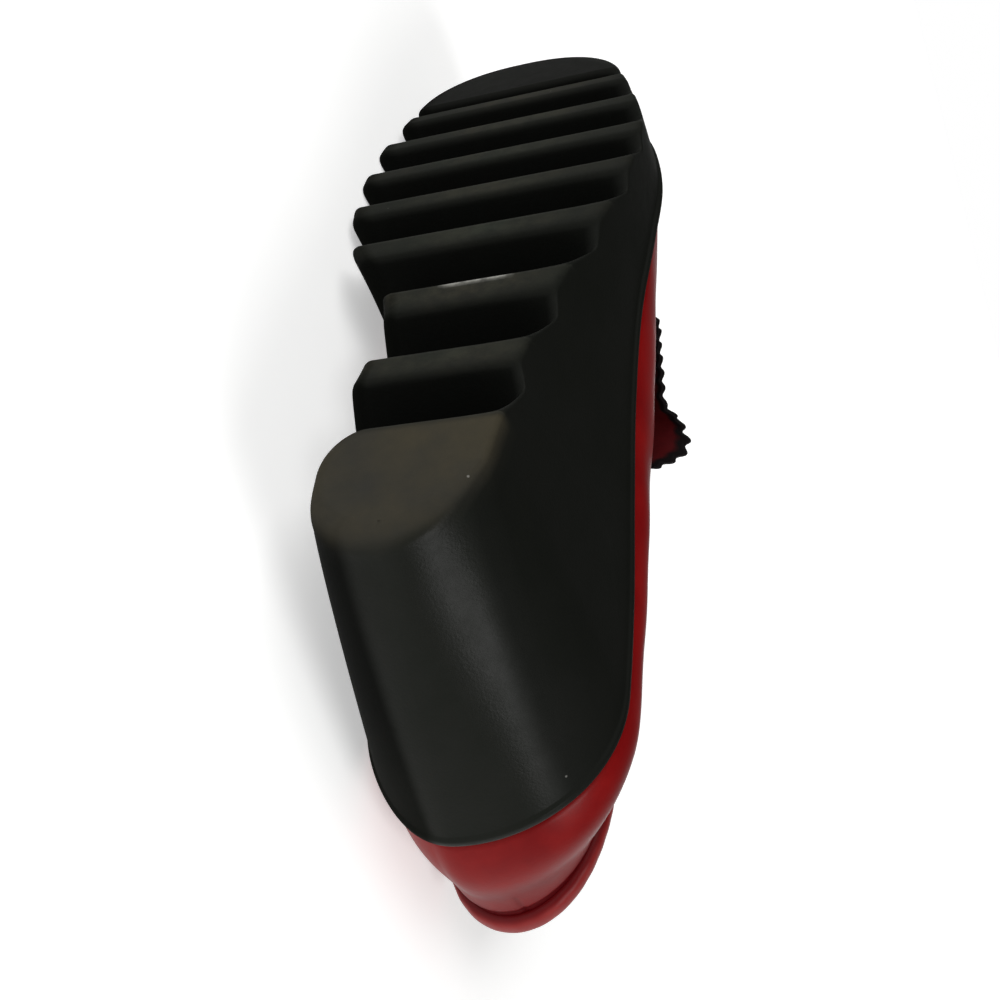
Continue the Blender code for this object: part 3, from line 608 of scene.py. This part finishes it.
def leather_relief(rows, loop, up):
    """Millimetres along the normal: back seam, tuck above the lip, groove under the collar, creases.

    A crease is a bell trough with a lower bell ridge in front of it; two sines make the slow unevenness.
    """
    x, y, z = np.moveaxis(rows, 2, 0)
    station = loop[None, :]
    share = up[:, None]
    seam_on = (x < SEAM_FORWARD) * ease(*SEAM_SPAN, share)
    relief = -SEAM_DEPTH * seam_on * bell(y, SEAM_HALF_WIDTH)
    relief = relief - TUCK_DEPTH * (1.0 - ease(*TUCK_SPAN, share))
    groove_on = ease(*TOPLINE_GROOVE_SPAN, share) * (1.0 - ease(*TOPLINE_GROOVE_END, station))
    relief = relief - TOPLINE_GROOVE * groove_on
    for at, deep, half, sweep in CREASES:
        line = at - sweep * (1.0 - share) + CREASE_WANDER * np.sin(y * 0.21 + at)
        strength = ease(*CREASE_SPAN, share) * (0.6 + 0.4 * np.sin(y * 0.11 + 2.0 * at))
        off = (station - line) / half
        relief = relief + deep * strength * (CREASE_RIDGE * bell(off - 1.7, 1.1) - bell(off, 1.0))
    wave = np.sin(x * 0.19 + 2.0 * share) * np.sin(z * 0.16 + 0.7)
    relief = relief + UNEVEN_DEPTH * wave * ease(*UNEVEN_SPAN, share)
    return relief * (1.0 - CREST_CALM * ease(*CREST_CALM_SPAN, share) * (station >= THROAT_STATION))


def edge_strip(numbers, shift):
    """Faces from a closed row of points to the same row of another skin, numbered a shift further on."""
    following = np.roll(numbers, -1)
    return np.stack([numbers, following, following + shift, numbers + shift], axis=1)


at = SOLE_LENGTH * 0.5 * (1.0 - np.cos(np.linspace(0.0, math.pi, UPPER_STATIONS + 1)))
up = np.linspace(0.0, 1.0, UPPER_UP + 1)
loop = ring(at, at)
bare = last_skin(at, up)
bare_normal = skin_normals(bare)
# The two sides share the crest in front of the throat, and there a normal square to the crest line
closed = loop >= THROAT_STATION
crest_fall = np.interp(loop, *np.array(CREST_FALL).T)
crest_normal = unit(np.column_stack([-crest_fall, np.zeros(len(loop)), np.ones(len(loop))]))
bare_normal[-1, closed] = crest_normal[closed]
relief = leather_relief(bare, loop, up)
rows = bare + bare_normal * relief[..., None]
rows[-1, closed] = bare[-1, closed]

# Smooth red leather, chrome tanned and polished: a clear deep red under a glossy finish, with painted shade
# in seams, creases and the groove under the collar and towards the topline, with fine pores that soften the
# gloss.
red, tree, shader = start_finish("polished_red_leather")
place = add(tree, "ShaderNodeTexCoord").outputs["Object"]
cloud = add(tree, "ShaderNodeTexNoise", {"Vector": place, "Scale": 1000 / 16.0, "Detail": 5.0,
                                         "Roughness": 0.6})
pores = add(tree, "ShaderNodeTexVoronoi", {"Vector": place, "Scale": 1000 / 0.9, "Randomness": 1.0})
fine = add(tree, "ShaderNodeTexNoise", {"Vector": place, "Scale": 1000 / 2.2, "Detail": 4.0,
                                        "Roughness": 0.65})
hollow_shade = add(tree, "ShaderNodeAttribute", attribute_name="hollow_shade").outputs["Fac"]
shade = add(tree, "ShaderNodeAttribute", attribute_name="top_shade").outputs["Fac"]
cloud_ramp = add(tree, "ShaderNodeMapRange", {"Value": cloud.outputs["Fac"], "From Min": 0.3,
                                              "From Max": 0.7})
base = add(tree, "ShaderNodeMix", {"Factor": cloud_ramp.outputs["Result"], "A": linear("#6c0608"),
                                   "B": linear("#800d0c")}, data_type="RGBA")
# Painted shade towards the topline, then in the hollows of the relief: seam, creases and the groove under
# the collar
base = add(tree, "ShaderNodeMix", {"Factor": shade, "A": base.outputs["Result"], "B": linear("#62050a")},
           data_type="RGBA")
base = add(tree, "ShaderNodeMix", {"Factor": hollow_shade, "A": base.outputs["Result"], "B": linear("#480105")},
           data_type="RGBA")
gloss = add(tree, "ShaderNodeMapRange", {"Value": cloud.outputs["Fac"], "From Min": 0.3, "From Max": 0.7,
                                         "To Min": 0.34, "To Max": 0.46})
height = add(tree, "ShaderNodeMath", {0: pores.outputs["Distance"], 1: 0.5, 2: fine.outputs["Fac"]},
             operation="MULTIPLY_ADD")
bump = add(tree, "ShaderNodeBump", {"Height": height.outputs["Value"], "Strength": 0.12,
                                    "Distance": 0.0002})
join(tree, shader, {"Base Color": base.outputs["Result"], "Roughness": gloss.outputs["Result"],
                    "Normal": bump.outputs["Normal"], "Specular IOR Level": 0.08,
                    "Coat Weight": 0.05, "Coat Roughness": 0.2})

# Lining leather, drum dyed tan and left without a finish: dull, with a loose nap.
lining, tree, shader = start_finish("tan_lining_leather")
place = add(tree, "ShaderNodeTexCoord").outputs["Object"]
nap = add(tree, "ShaderNodeTexNoise", {"Vector": place, "Scale": 1000 / 1.6, "Detail": 5.0,
                                       "Roughness": 0.7})
cloud = add(tree, "ShaderNodeTexNoise", {"Vector": place, "Scale": 1000 / 18.0, "Detail": 3.0})
base = add(tree, "ShaderNodeMix", {"Factor": cloud.outputs["Fac"], "A": linear("#8d7355"),
                                   "B": linear("#a68c6c")}, data_type="RGBA")
bump = add(tree, "ShaderNodeBump", {"Height": nap.outputs["Fac"], "Strength": 0.25, "Distance": 0.0003})
join(tree, shader, {"Base Color": base.outputs["Result"], "Normal": bump.outputs["Normal"],
                    "Roughness": 0.75})

# Painted shade where the relief sinks in above the tuck, and towards the topline behind the throat
hollow_shade_mark = np.clip(-relief / 0.8, 0.0, 1.0) * ease(0.06, 0.1, up)[:, None]
shade_mark = ease(0.8, 1.0, up)[:, None] * (1.0 - ease(120.0, THROAT_STATION, loop))
# The lining lies one wall's thickness inside the bare last, kept above the foot bed.
# Strips of leather close the wall along its foot and along the open rim.
inside = bare - bare_normal * WALL
inside[..., 2] = np.maximum(inside[..., 2], smooth(SOLE, "bed", inside[..., 0]) + SEAM_GAP)
outer_faces = ring_faces(len(up), len(loop))
foot_strip = edge_strip(np.arange(len(loop)), relief.size)
rim_strip = edge_strip(relief.size - len(loop) + np.arange(len(loop)), relief.size)
rim_strip = rim_strip[~(closed & np.roll(closed, -1))]
none = np.zeros(relief.size)
upper_marks = {"hollow_shade": np.append(hollow_shade_mark.ravel(), none),
               "top_shade": np.append(shade_mark.ravel(), none), "lined": np.append(none, none + 1.0)}
upper = piece("leather_upper", np.vstack([rows.reshape(-1, 3), inside.reshape(-1, 3)]),
              [outer_faces, outer_faces + relief.size, foot_strip, rim_strip], upper_marks, [red, lining])
# A face is lining where all its corners are
lined = np.zeros(len(upper.data.vertices), dtype=np.float32)
upper.data.attributes["lined"].data.foreach_get("value", lined)
corner = np.zeros(len(upper.data.loops), dtype=np.int32)
upper.data.loops.foreach_get("vertex_index", corner)
first = np.zeros(len(upper.data.polygons), dtype=np.int32)
upper.data.polygons.foreach_get("loop_start", first)
of_lining = np.minimum.reduceat(lined[corner], first) > 0.5
upper.data.polygons.foreach_set("material_index", of_lining.astype(np.int32))
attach(upper, "root")
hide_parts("upper")


# Collar band. A strip of softer red leather turned over a foam cord and sewn to the topline, so that
# it makes a low padded roll all round the opening, with small puckers along its stitching.
BAND_HEIGHT = 7.0
BAND_THICKNESS = 5.0
BAND_OUTWARD = 0.4
BAND_AROUND = 420
BAND_SIDES = 32
BAND_SQUARENESS = 0.8
PUCKER_DEPTH = 0.09


def evened(values, passes, axis):
    """Values along a closed axis, each pass a quarter of both neighbours and half of themselves."""
    for _ in range(passes):
        values = 0.25 * np.roll(values, 1, axis=axis) + 0.5 * values + 0.25 * np.roll(values, -1, axis=axis)
    return values


def topline(rows, loop):
    """The open rim as one closed path with the wall's outward normal and the way on past the rim."""
    half = len(loop) // 2
    numbers = np.arange(len(loop))
    open_part = loop < THROAT_STATION
    order = np.concatenate([numbers[open_part & (numbers > half)], numbers[open_part & (numbers <= half)]])
    path = rows[-1][order]
    down = rows[-7][order] - path
    step = np.linalg.norm(np.roll(path, -1, axis=0) - path, axis=1)
    run = np.concatenate([[0.0], np.cumsum(step)])
    even = np.linspace(0.0, run[-1], BAND_AROUND + 1)[:-1]
    closed_path = np.vstack([path, path[:1]])
    closed_down = np.vstack([down, down[:1]])
    path = np.column_stack([np.interp(even, run, closed_path[:, k]) for k in range(3)])
    down = np.column_stack([np.interp(even, run, closed_down[:, k]) for k in range(3)])
    path = evened(path, 6, 0)
    down = evened(down, 40, 0)
    along = unit(np.roll(path, -1, axis=0) - np.roll(path, 1, axis=0))
    normal = unit(np.cross(along, down))
    beyond = np.cross(normal, along)
    beyond *= np.sign(-np.sum(beyond * down, axis=1))[:, None]
    sign = np.sign(np.sum(normal[:, :2] * (path - path.mean(axis=0))[:, :2], axis=1).mean())
    return path, normal * sign, beyond, even


def padded_roll():
    """A superellipse section carried round the topline, its size rippled by puckers along the seam."""
    path, normal, beyond, even = topline(bare, loop)
    centre = path - normal * (WALL * 0.5 - BAND_OUTWARD) + beyond * (SEAM_GAP + BAND_HEIGHT * 0.5)
    turn = np.linspace(0.0, 2.0 * math.pi, BAND_SIDES + 1)[:-1, None]
    cos = np.cos(turn)
    sin = np.sin(turn)
    wide = BAND_THICKNESS * 0.5 * np.sign(cos) * np.abs(cos) ** BAND_SQUARENESS
    tall = BAND_HEIGHT * 0.5 * np.sign(sin) * np.abs(sin) ** BAND_SQUARENESS
    ripple = np.sin(even * 1.15 + 0.8 * np.sin(even * 0.13))
    pucker = PUCKER_DEPTH * ripple * (0.3 + 0.7 * ease(0.2, -0.9, sin))
    wide = wide + np.sign(cos) * pucker * np.abs(cos)
    return centre + normal * wide[..., None] + beyond * tall[..., None]


# Collar leather: the same red dye on a softer skin, so it is a little paler and less glossy, with
# painted shade on the underside of the roll, where it is sewn down.
collar_red, tree, shader = start_finish("soft_red_collar_leather")
place = add(tree, "ShaderNodeTexCoord").outputs["Object"]
cloud = add(tree, "ShaderNodeTexNoise", {"Vector": place, "Scale": 1000 / 9.0, "Detail": 5.0,
                                         "Roughness": 0.6})
fine = add(tree, "ShaderNodeTexNoise", {"Vector": place, "Scale": 1000 / 1.2, "Detail": 4.0,
                                        "Roughness": 0.65})
roll_underside_shade = add(tree, "ShaderNodeAttribute", attribute_name="roll_underside_shade").outputs["Fac"]
base = add(tree, "ShaderNodeMix", {"Factor": cloud.outputs["Fac"], "A": linear("#7b1b1b"),
                                   "B": linear("#8f2b28")}, data_type="RGBA")
# Painted shade on the underside of the roll
base = add(tree, "ShaderNodeMix", {"Factor": roll_underside_shade, "A": base.outputs["Result"], "B": linear("#5e0409")},
           data_type="RGBA")
bump = add(tree, "ShaderNodeBump", {"Height": fine.outputs["Fac"], "Strength": 0.15, "Distance": 0.0002})
join(tree, shader, {"Base Color": base.outputs["Result"], "Normal": bump.outputs["Normal"],
                    "Roughness": 0.42, "Specular IOR Level": 0.15})

section = np.linspace(0.0, 2.0 * math.pi, BAND_SIDES + 1)[:-1]
# The roll's underside, where it meets the topline, gets the painted shade
low_side = np.repeat(ease(-0.35, -0.95, np.sin(section)), BAND_AROUND)
to_last = (BAND_SIDES - 1) * BAND_AROUND
closing = edge_strip(to_last + np.arange(BAND_AROUND), -to_last)
band = piece("collar_roll", padded_roll().reshape(-1, 3), [ring_faces(BAND_SIDES, BAND_AROUND), closing],
             {"roll_underside_shade": low_side}, [collar_red])
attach(band, "root")
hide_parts("collar_band")


# Fringe flap. A piece of thin dark red leather laid over the instep, its edge pinked into small
# teeth and its outer rear lobe curled away from the shoe, held under the throat.
FLAP_THICKNESS = 1.5
FLAP_MIDDLE = 166.0
FLAP_MIDDLE_REACH = 0.2
# Its outline: turn round the middle, station on the lip, reach down the wall, stand-off of the edge
FLAP_ROWS = (
    (0.0, 190.0, 0.0, 0.0),
    (28.0, 188.5, 0.22, 0.5),
    (53.0, 182.0, 0.43, 1.5),
    (72.0, 172.1, 0.55, 2.8),
    (86.0, 164.2, 0.56, 2.7),
    (100.0, 157.1, 0.56, 2.9),
    (109.0, 152.8, 0.55, 3.2),
    (116.0, 149.4, 0.54, 3.5),
    (120.5, 148.3, 0.53, 4.6),
    (126.0, 148.0, 0.52, 6.8),
    (134.0, 147.2, 0.50, 9.7),
    (142.0, 144.0, 0.47, 11.2),
    (150.0, 140.2, 0.42, 10.5),
    (158.0, 137.9, 0.36, 8.0),
    (166.0, 136.2, 0.31, 5.3),
    (189.0, 144.5, 0.22, 2.6),
    (208.0, 149.0, 0.10, 0.8),
    (221.0, 150.0, 0.0, 0.3),
    (232.0, 150.0, -0.10, 0.0),
    (249.0, 150.5, -0.25, 0.0),
    (268.0, 153.0, -0.38, 0.2),
    (289.0, 161.0, -0.45, 0.4),
    (309.0, 172.0, -0.44, 0.4),
    (326.0, 182.0, -0.36, 0.4),
    (341.0, 188.0, -0.19, 0.2),
    (360.0, 190.0, 0.0, 0.0),
)
# The lobe's rise for each millimetre outward, then the teeth: number, depth, pointedness and where they
# and the black rim start on the way out from the middle
FLAP_STAND_OFF_RISE = 0.9
FLAP_TEETH = 46
FLAP_TOOTH = 1.1
FLAP_TOOTH_POINT = 1.3
FLAP_TOOTH_START = 0.86
FLAP_BLACK_RIM = (0.9, 0.95)
FLAP_GAP = 0.7
FLAP_CREST = 0.15
FLAP_RINGS = 44
FLAP_STEPS_A_TOOTH = 8
FLAP = columns(("turn", "along", "reach", "stand_off"), FLAP_ROWS)


def on_skin(station, outer, share):
    """Points and normals of the upper between grid points: weights of the four nearest ones."""
    column = np.interp(station, at, np.arange(len(at)))
    column = np.where(outer, column, (len(loop) - column) % len(loop))
    level = np.clip(share, 0.0, 1.0) * UPPER_UP
    i = np.minimum(np.floor(column).astype(int), len(loop) - 1)
    j = np.minimum(np.floor(level).astype(int), UPPER_UP - 1)
    fx = (column - i)[..., None]
    fy = (level - j)[..., None]
    k = (i + 1) % len(loop)
    found = []
    for grid in (bare, bare_normal):
        low = grid[j, i] * (1 - fx) + grid[j, k] * fx
        high = grid[j + 1, i] * (1 - fx) + grid[j + 1, k] * fx
        found.append(low * (1 - fy) + high * fy)
    return found[0], unit(found[1])


def flap_skin(share, turn):
    """Flap points: the outline drawn in to the middle by share, laid off the upper, lifted by its cube.

    Near the crest the normal turns in a straight line to the mean of the normals of both sides.
    """
    reach = FLAP_MIDDLE_REACH + (smooth(FLAP, "reach", turn, "turn") - FLAP_MIDDLE_REACH) * share
    station = FLAP_MIDDLE + (smooth(FLAP, "along", turn, "turn") - FLAP_MIDDLE) * share
    points, normal = on_skin(station, reach >= 0.0, 1.0 - np.abs(reach))
    top = np.ones_like(reach)
    crest = on_skin(station, True, top)[1] + on_skin(station, False, top)[1]
    near = np.clip(1.0 - np.abs(reach) / FLAP_CREST, 0.0, 1.0)[..., None]
    normal = unit(normal * (1.0 - near) + unit(crest) * near)
    lift = (smooth(FLAP, "stand_off", turn, "turn") * share**3)[..., None]
    away = np.array([0.0, 1.0, FLAP_STAND_OFF_RISE])
    return points + normal * (FLAP_GAP + FLAP_THICKNESS) + away * lift


def pinked_flap():
    """Rings from the flap's middle to its edge; near the edge they are drawn in by rounded teeth."""
    fine = np.linspace(0.0, 360.0, 1441)
    outline = flap_skin(np.ones_like(fine), fine)
    run = np.concatenate([[0.0], np.cumsum(np.linalg.norm(np.diff(outline, axis=0), axis=1))])
    steps = FLAP_TEETH * FLAP_STEPS_A_TOOTH
    turn = np.interp(np.linspace(0.0, run[-1], steps + 1)[:-1], run, fine)
    middle = flap_skin(np.zeros(1), np.zeros(1))[0]
    radius = np.linalg.norm(flap_skin(np.ones_like(turn), turn) - middle, axis=1)
    phase = 2.0 * math.pi * FLAP_TEETH * np.arange(steps) / steps
    tooth = FLAP_TOOTH / radius * (0.5 - 0.5 * np.cos(phase)) ** FLAP_TOOTH_POINT
    share = np.linspace(0.0, 1.0, FLAP_RINGS + 1)[1:, None]
    cut = share - tooth * ease(FLAP_TOOTH_START, 1.0, share)
    return flap_skin(cut, np.broadcast_to(turn, cut.shape)), np.broadcast_to(share, cut.shape), middle


# Dyed split leather: a dull dark red face with a soft nap, black along its pinked edge.
flap_red, tree, shader = start_finish("dark_red_split_leather")
place = add(tree, "ShaderNodeTexCoord").outputs["Object"]
nap = add(tree, "ShaderNodeTexNoise", {"Vector": place, "Scale": 1000 / 1.4, "Detail": 6.0,
                                       "Roughness": 0.7})
cloud = add(tree, "ShaderNodeTexNoise", {"Vector": place, "Scale": 1000 / 7.0, "Detail": 4.0,
                                         "Roughness": 0.6})
black_rim = add(tree, "ShaderNodeAttribute", attribute_name="black_rim").outputs["Fac"]
base = add(tree, "ShaderNodeMix", {"Factor": cloud.outputs["Fac"], "A": linear("#2e0205"),
                                   "B": linear("#52080b")}, data_type="RGBA")
base = add(tree, "ShaderNodeMix", {"Factor": black_rim, "A": base.outputs["Result"], "B": linear("#070304")},
           data_type="RGBA")
bump = add(tree, "ShaderNodeBump", {"Height": nap.outputs["Fac"], "Strength": 0.25, "Distance": 0.0003})
join(tree, shader, {"Base Color": base.outputs["Result"], "Normal": bump.outputs["Normal"],
                    "Roughness": 0.7, "Specular IOR Level": 0.1})

flap_rings, flap_share, flap_middle = pinked_flap()
count = flap_rings.shape[1]
# The underside lies one thickness below along normals that are evened out round the rings
flap_normal = unit(evened(skin_normals(flap_rings), 80, 1))
flap_top = np.vstack([flap_rings.reshape(-1, 3), flap_middle])
flap_down = np.vstack([flap_normal.reshape(-1, 3), flap_normal[0].mean(axis=0)]) * FLAP_THICKNESS
hub = np.full(count, len(flap_top) - 1)
fan = np.stack([hub, np.arange(count), np.roll(np.arange(count), -1)], axis=1)
ring_sheet = ring_faces(len(flap_rings), count)
rim_strip = edge_strip(len(flap_top) - 1 - count + np.arange(count), len(flap_top))
black_rim_mark = np.append(ease(*FLAP_BLACK_RIM, flap_share).ravel(), 0.0)
flap = piece("pinked_flap", np.vstack([flap_top, flap_top - flap_down]),
             [ring_sheet, fan, ring_sheet + len(flap_top), fan + len(flap_top), rim_strip],
             {"black_rim": np.tile(black_rim_mark, 2)}, [flap_red])
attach(flap, "root")
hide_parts("kiltie_flap")


# Insole. A pad of tan leather over thin foam, cut a little smaller than the foot bed and stuck down,
# with the rounded edge of a clicked pad and a shallow dish where the heel sits.
INSOLE_EASE = 0.6
# Its edge: how far in, and how far up from the foot bed to its thickness
INSOLE_PROFILE = ((0.6, 0.0), (0.18, 0.18), (0.0, 0.6), (0.0, 1.8), (0.12, 2.25), (0.4, 2.5), (0.9, 2.6))
# The heel's dish: depth, place along the shoe, and half widths along and across
INSOLE_DISH = 0.5
DISH_STATION = 32.0
DISH_HALF_LENGTH = 22.0
DISH_HALF_WIDTH = 17.0
INSOLE_ACROSS = 30


def insole_pad():
    """Rings of a flat pad on the foot bed, its edge rounded, its top dished by a bell at the heel."""
    lip = lip_plan(at)
    bed = smooth(SOLE, "bed", loop) + SEAM_GAP
    edge = inset(lip, REVEAL + WALL + SEAM_GAP + INSOLE_EASE)
    rings = np.stack([np.column_stack([inset(edge, off), bed + tall]) for off, tall in INSOLE_PROFILE])
    count = len(loop)
    last = (len(rings) - 1) * count
    points = rings.reshape(-1, 3)
    low, low_faces = across(rings[0], 0, len(points), np.linspace(0.0, 1.0, BED_ACROSS + 1))
    points = np.concatenate([points, low])
    high, high_faces = across(rings[-1], last, len(points), np.linspace(0.0, 1.0, INSOLE_ACROSS + 1))
    dish = bell(high[:, 0] - DISH_STATION, DISH_HALF_LENGTH) * bell(high[:, 1], DISH_HALF_WIDTH)
    high[:, 2] -= INSOLE_DISH * dish
    return np.concatenate([points, high]), [ring_faces(len(rings), count), low_faces, high_faces]


pad_points, pad_faces = insole_pad()
insole = piece("leather_insole", pad_points, pad_faces, {}, [lining])
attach(insole, "root")
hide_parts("insole")


# Floor, light and camera. A white paper floor, a soft light at the heel whose reflection runs along
# the heel's corner, a wider one on the sole's side, and the photograph's view of the shoe.
# The camera's place and axes in the frame, its aim as slopes to the right and up, and its lens
CAMERA_PLACE = np.array([0.26256839, -0.19211669, 0.16032027])
CAMERA_RIGHT = np.array([-0.22711788, 0.48730128, 0.84318141])
CAMERA_UP = np.array([-0.65873703, -0.71455696, 0.23552887])
CAMERA_BACK = np.array([0.71727468, -0.50194201, 0.48329207])
CAMERA_AIM = (0.1108, -0.0542)
CAMERA_LENS = 43.2
FLOOR_HALF = 30.0

paper, tree, shader = start_finish("white_sweep_paper")
place = add(tree, "ShaderNodeTexCoord").outputs["Object"]
fibre = add(tree, "ShaderNodeTexNoise", {"Vector": place, "Scale": 1000 / 250.0, "Detail": 2.0})
base = add(tree, "ShaderNodeMix", {"Factor": fibre.outputs["Fac"], "A": linear("#f4f4f3"),
                                   "B": linear("#f7f7f6")}, data_type="RGBA")
join(tree, shader, {"Base Color": base.outputs["Result"], "Roughness": 0.9, "Specular IOR Level": 0.1,
                    "Emission Color": linear("#ffffff"), "Emission Strength": 0.4})
floor_mesh = bpy.data.meshes.new("paper_floor")
floor_mesh.from_pydata([(-FLOOR_HALF, -FLOOR_HALF, 0.0), (FLOOR_HALF, -FLOOR_HALF, 0.0),
                        (FLOOR_HALF, FLOOR_HALF, 0.0), (-FLOOR_HALF, FLOOR_HALF, 0.0)], [], [(0, 1, 2, 3)])
floor_mesh.materials.append(paper)
floor = bpy.data.objects.new("paper_floor", floor_mesh)
bpy.context.scene.collection.objects.link(floor)

# The studio is bright low down at the heel's end and dim overhead and at the toe's end, and the
# paper behind the shoe is seen as plain white
world = bpy.data.worlds.new("white_studio")
bpy.context.scene.world = world
world.use_nodes = True
tree = world.node_tree
tree.nodes.clear()
way = add(tree, "ShaderNodeSeparateXYZ", {"Vector": add(tree, "ShaderNodeTexCoord").outputs["Generated"]})
glow = add(tree, "ShaderNodeMapRange", {"Value": way.outputs["Z"], "From Min": 0.1, "From Max": 0.45,
                                        "To Min": 1.0, "To Max": 0.15}, interpolation_type="SMOOTHSTEP")
end = add(tree, "ShaderNodeMapRange", {"Value": way.outputs["X"], "From Min": -0.6, "From Max": 0.3,
                                       "To Min": 0.3, "To Max": 1.0}, interpolation_type="SMOOTHSTEP")
level = add(tree, "ShaderNodeMath", {0: glow.outputs["Result"], 1: end.outputs["Result"]},
            operation="MULTIPLY")
ray = add(tree, "ShaderNodeLightPath")
seen = add(tree, "ShaderNodeMath", {0: level.outputs["Value"], 1: ray.outputs["Is Camera Ray"]},
           operation="MAXIMUM")
sky = add(tree, "ShaderNodeBackground", {"Color": linear("#ffffff"), "Strength": seen.outputs["Value"]})
add(tree, "ShaderNodeOutputWorld", {"Surface": sky.outputs["Background"]})


def soft_sun(name, toward, spread, strength):
    """A wide distant light: its local Z axis points to where it comes from."""
    data = bpy.data.lights.new(name, "SUN")
    data.energy = strength
    data.angle = math.radians(spread)
    made = bpy.data.objects.new(name, data)
    away = unit(np.array(toward))
    side = unit(np.cross((0.0, 0.0, 1.0), away))
    turn = np.column_stack([side, np.cross(away, side), away])
    made.matrix_world = Matrix(turn.tolist()).to_4x4()
    bpy.context.scene.collection.objects.link(made)


soft_sun("heel_side_softbox", (0.68, 0.32, 0.66), 24.0, 1.15)
soft_sun("sole_side_softbox", (-0.1, -0.8, 0.55), 60.0, 2.3)
bpy.context.scene.view_settings.view_transform = "Standard"

ahead = CAMERA_AIM[0] * CAMERA_RIGHT + CAMERA_AIM[1] * CAMERA_UP - CAMERA_BACK
back = -unit(ahead)
right = unit(CAMERA_RIGHT - np.dot(CAMERA_RIGHT, back) * back)
turn = np.column_stack([right, np.cross(back, right), back])
camera_data = bpy.data.cameras.new("photo_camera")
camera_data.sensor_width = 36.0
camera_data.lens = CAMERA_LENS
camera_data.clip_start = 0.01
camera = bpy.data.objects.new("photo_camera", camera_data)
camera.matrix_world = Matrix.Translation(CAMERA_PLACE) @ Matrix(turn.tolist()).to_4x4()
bpy.context.scene.collection.objects.link(camera)
bpy.context.scene.camera = camera
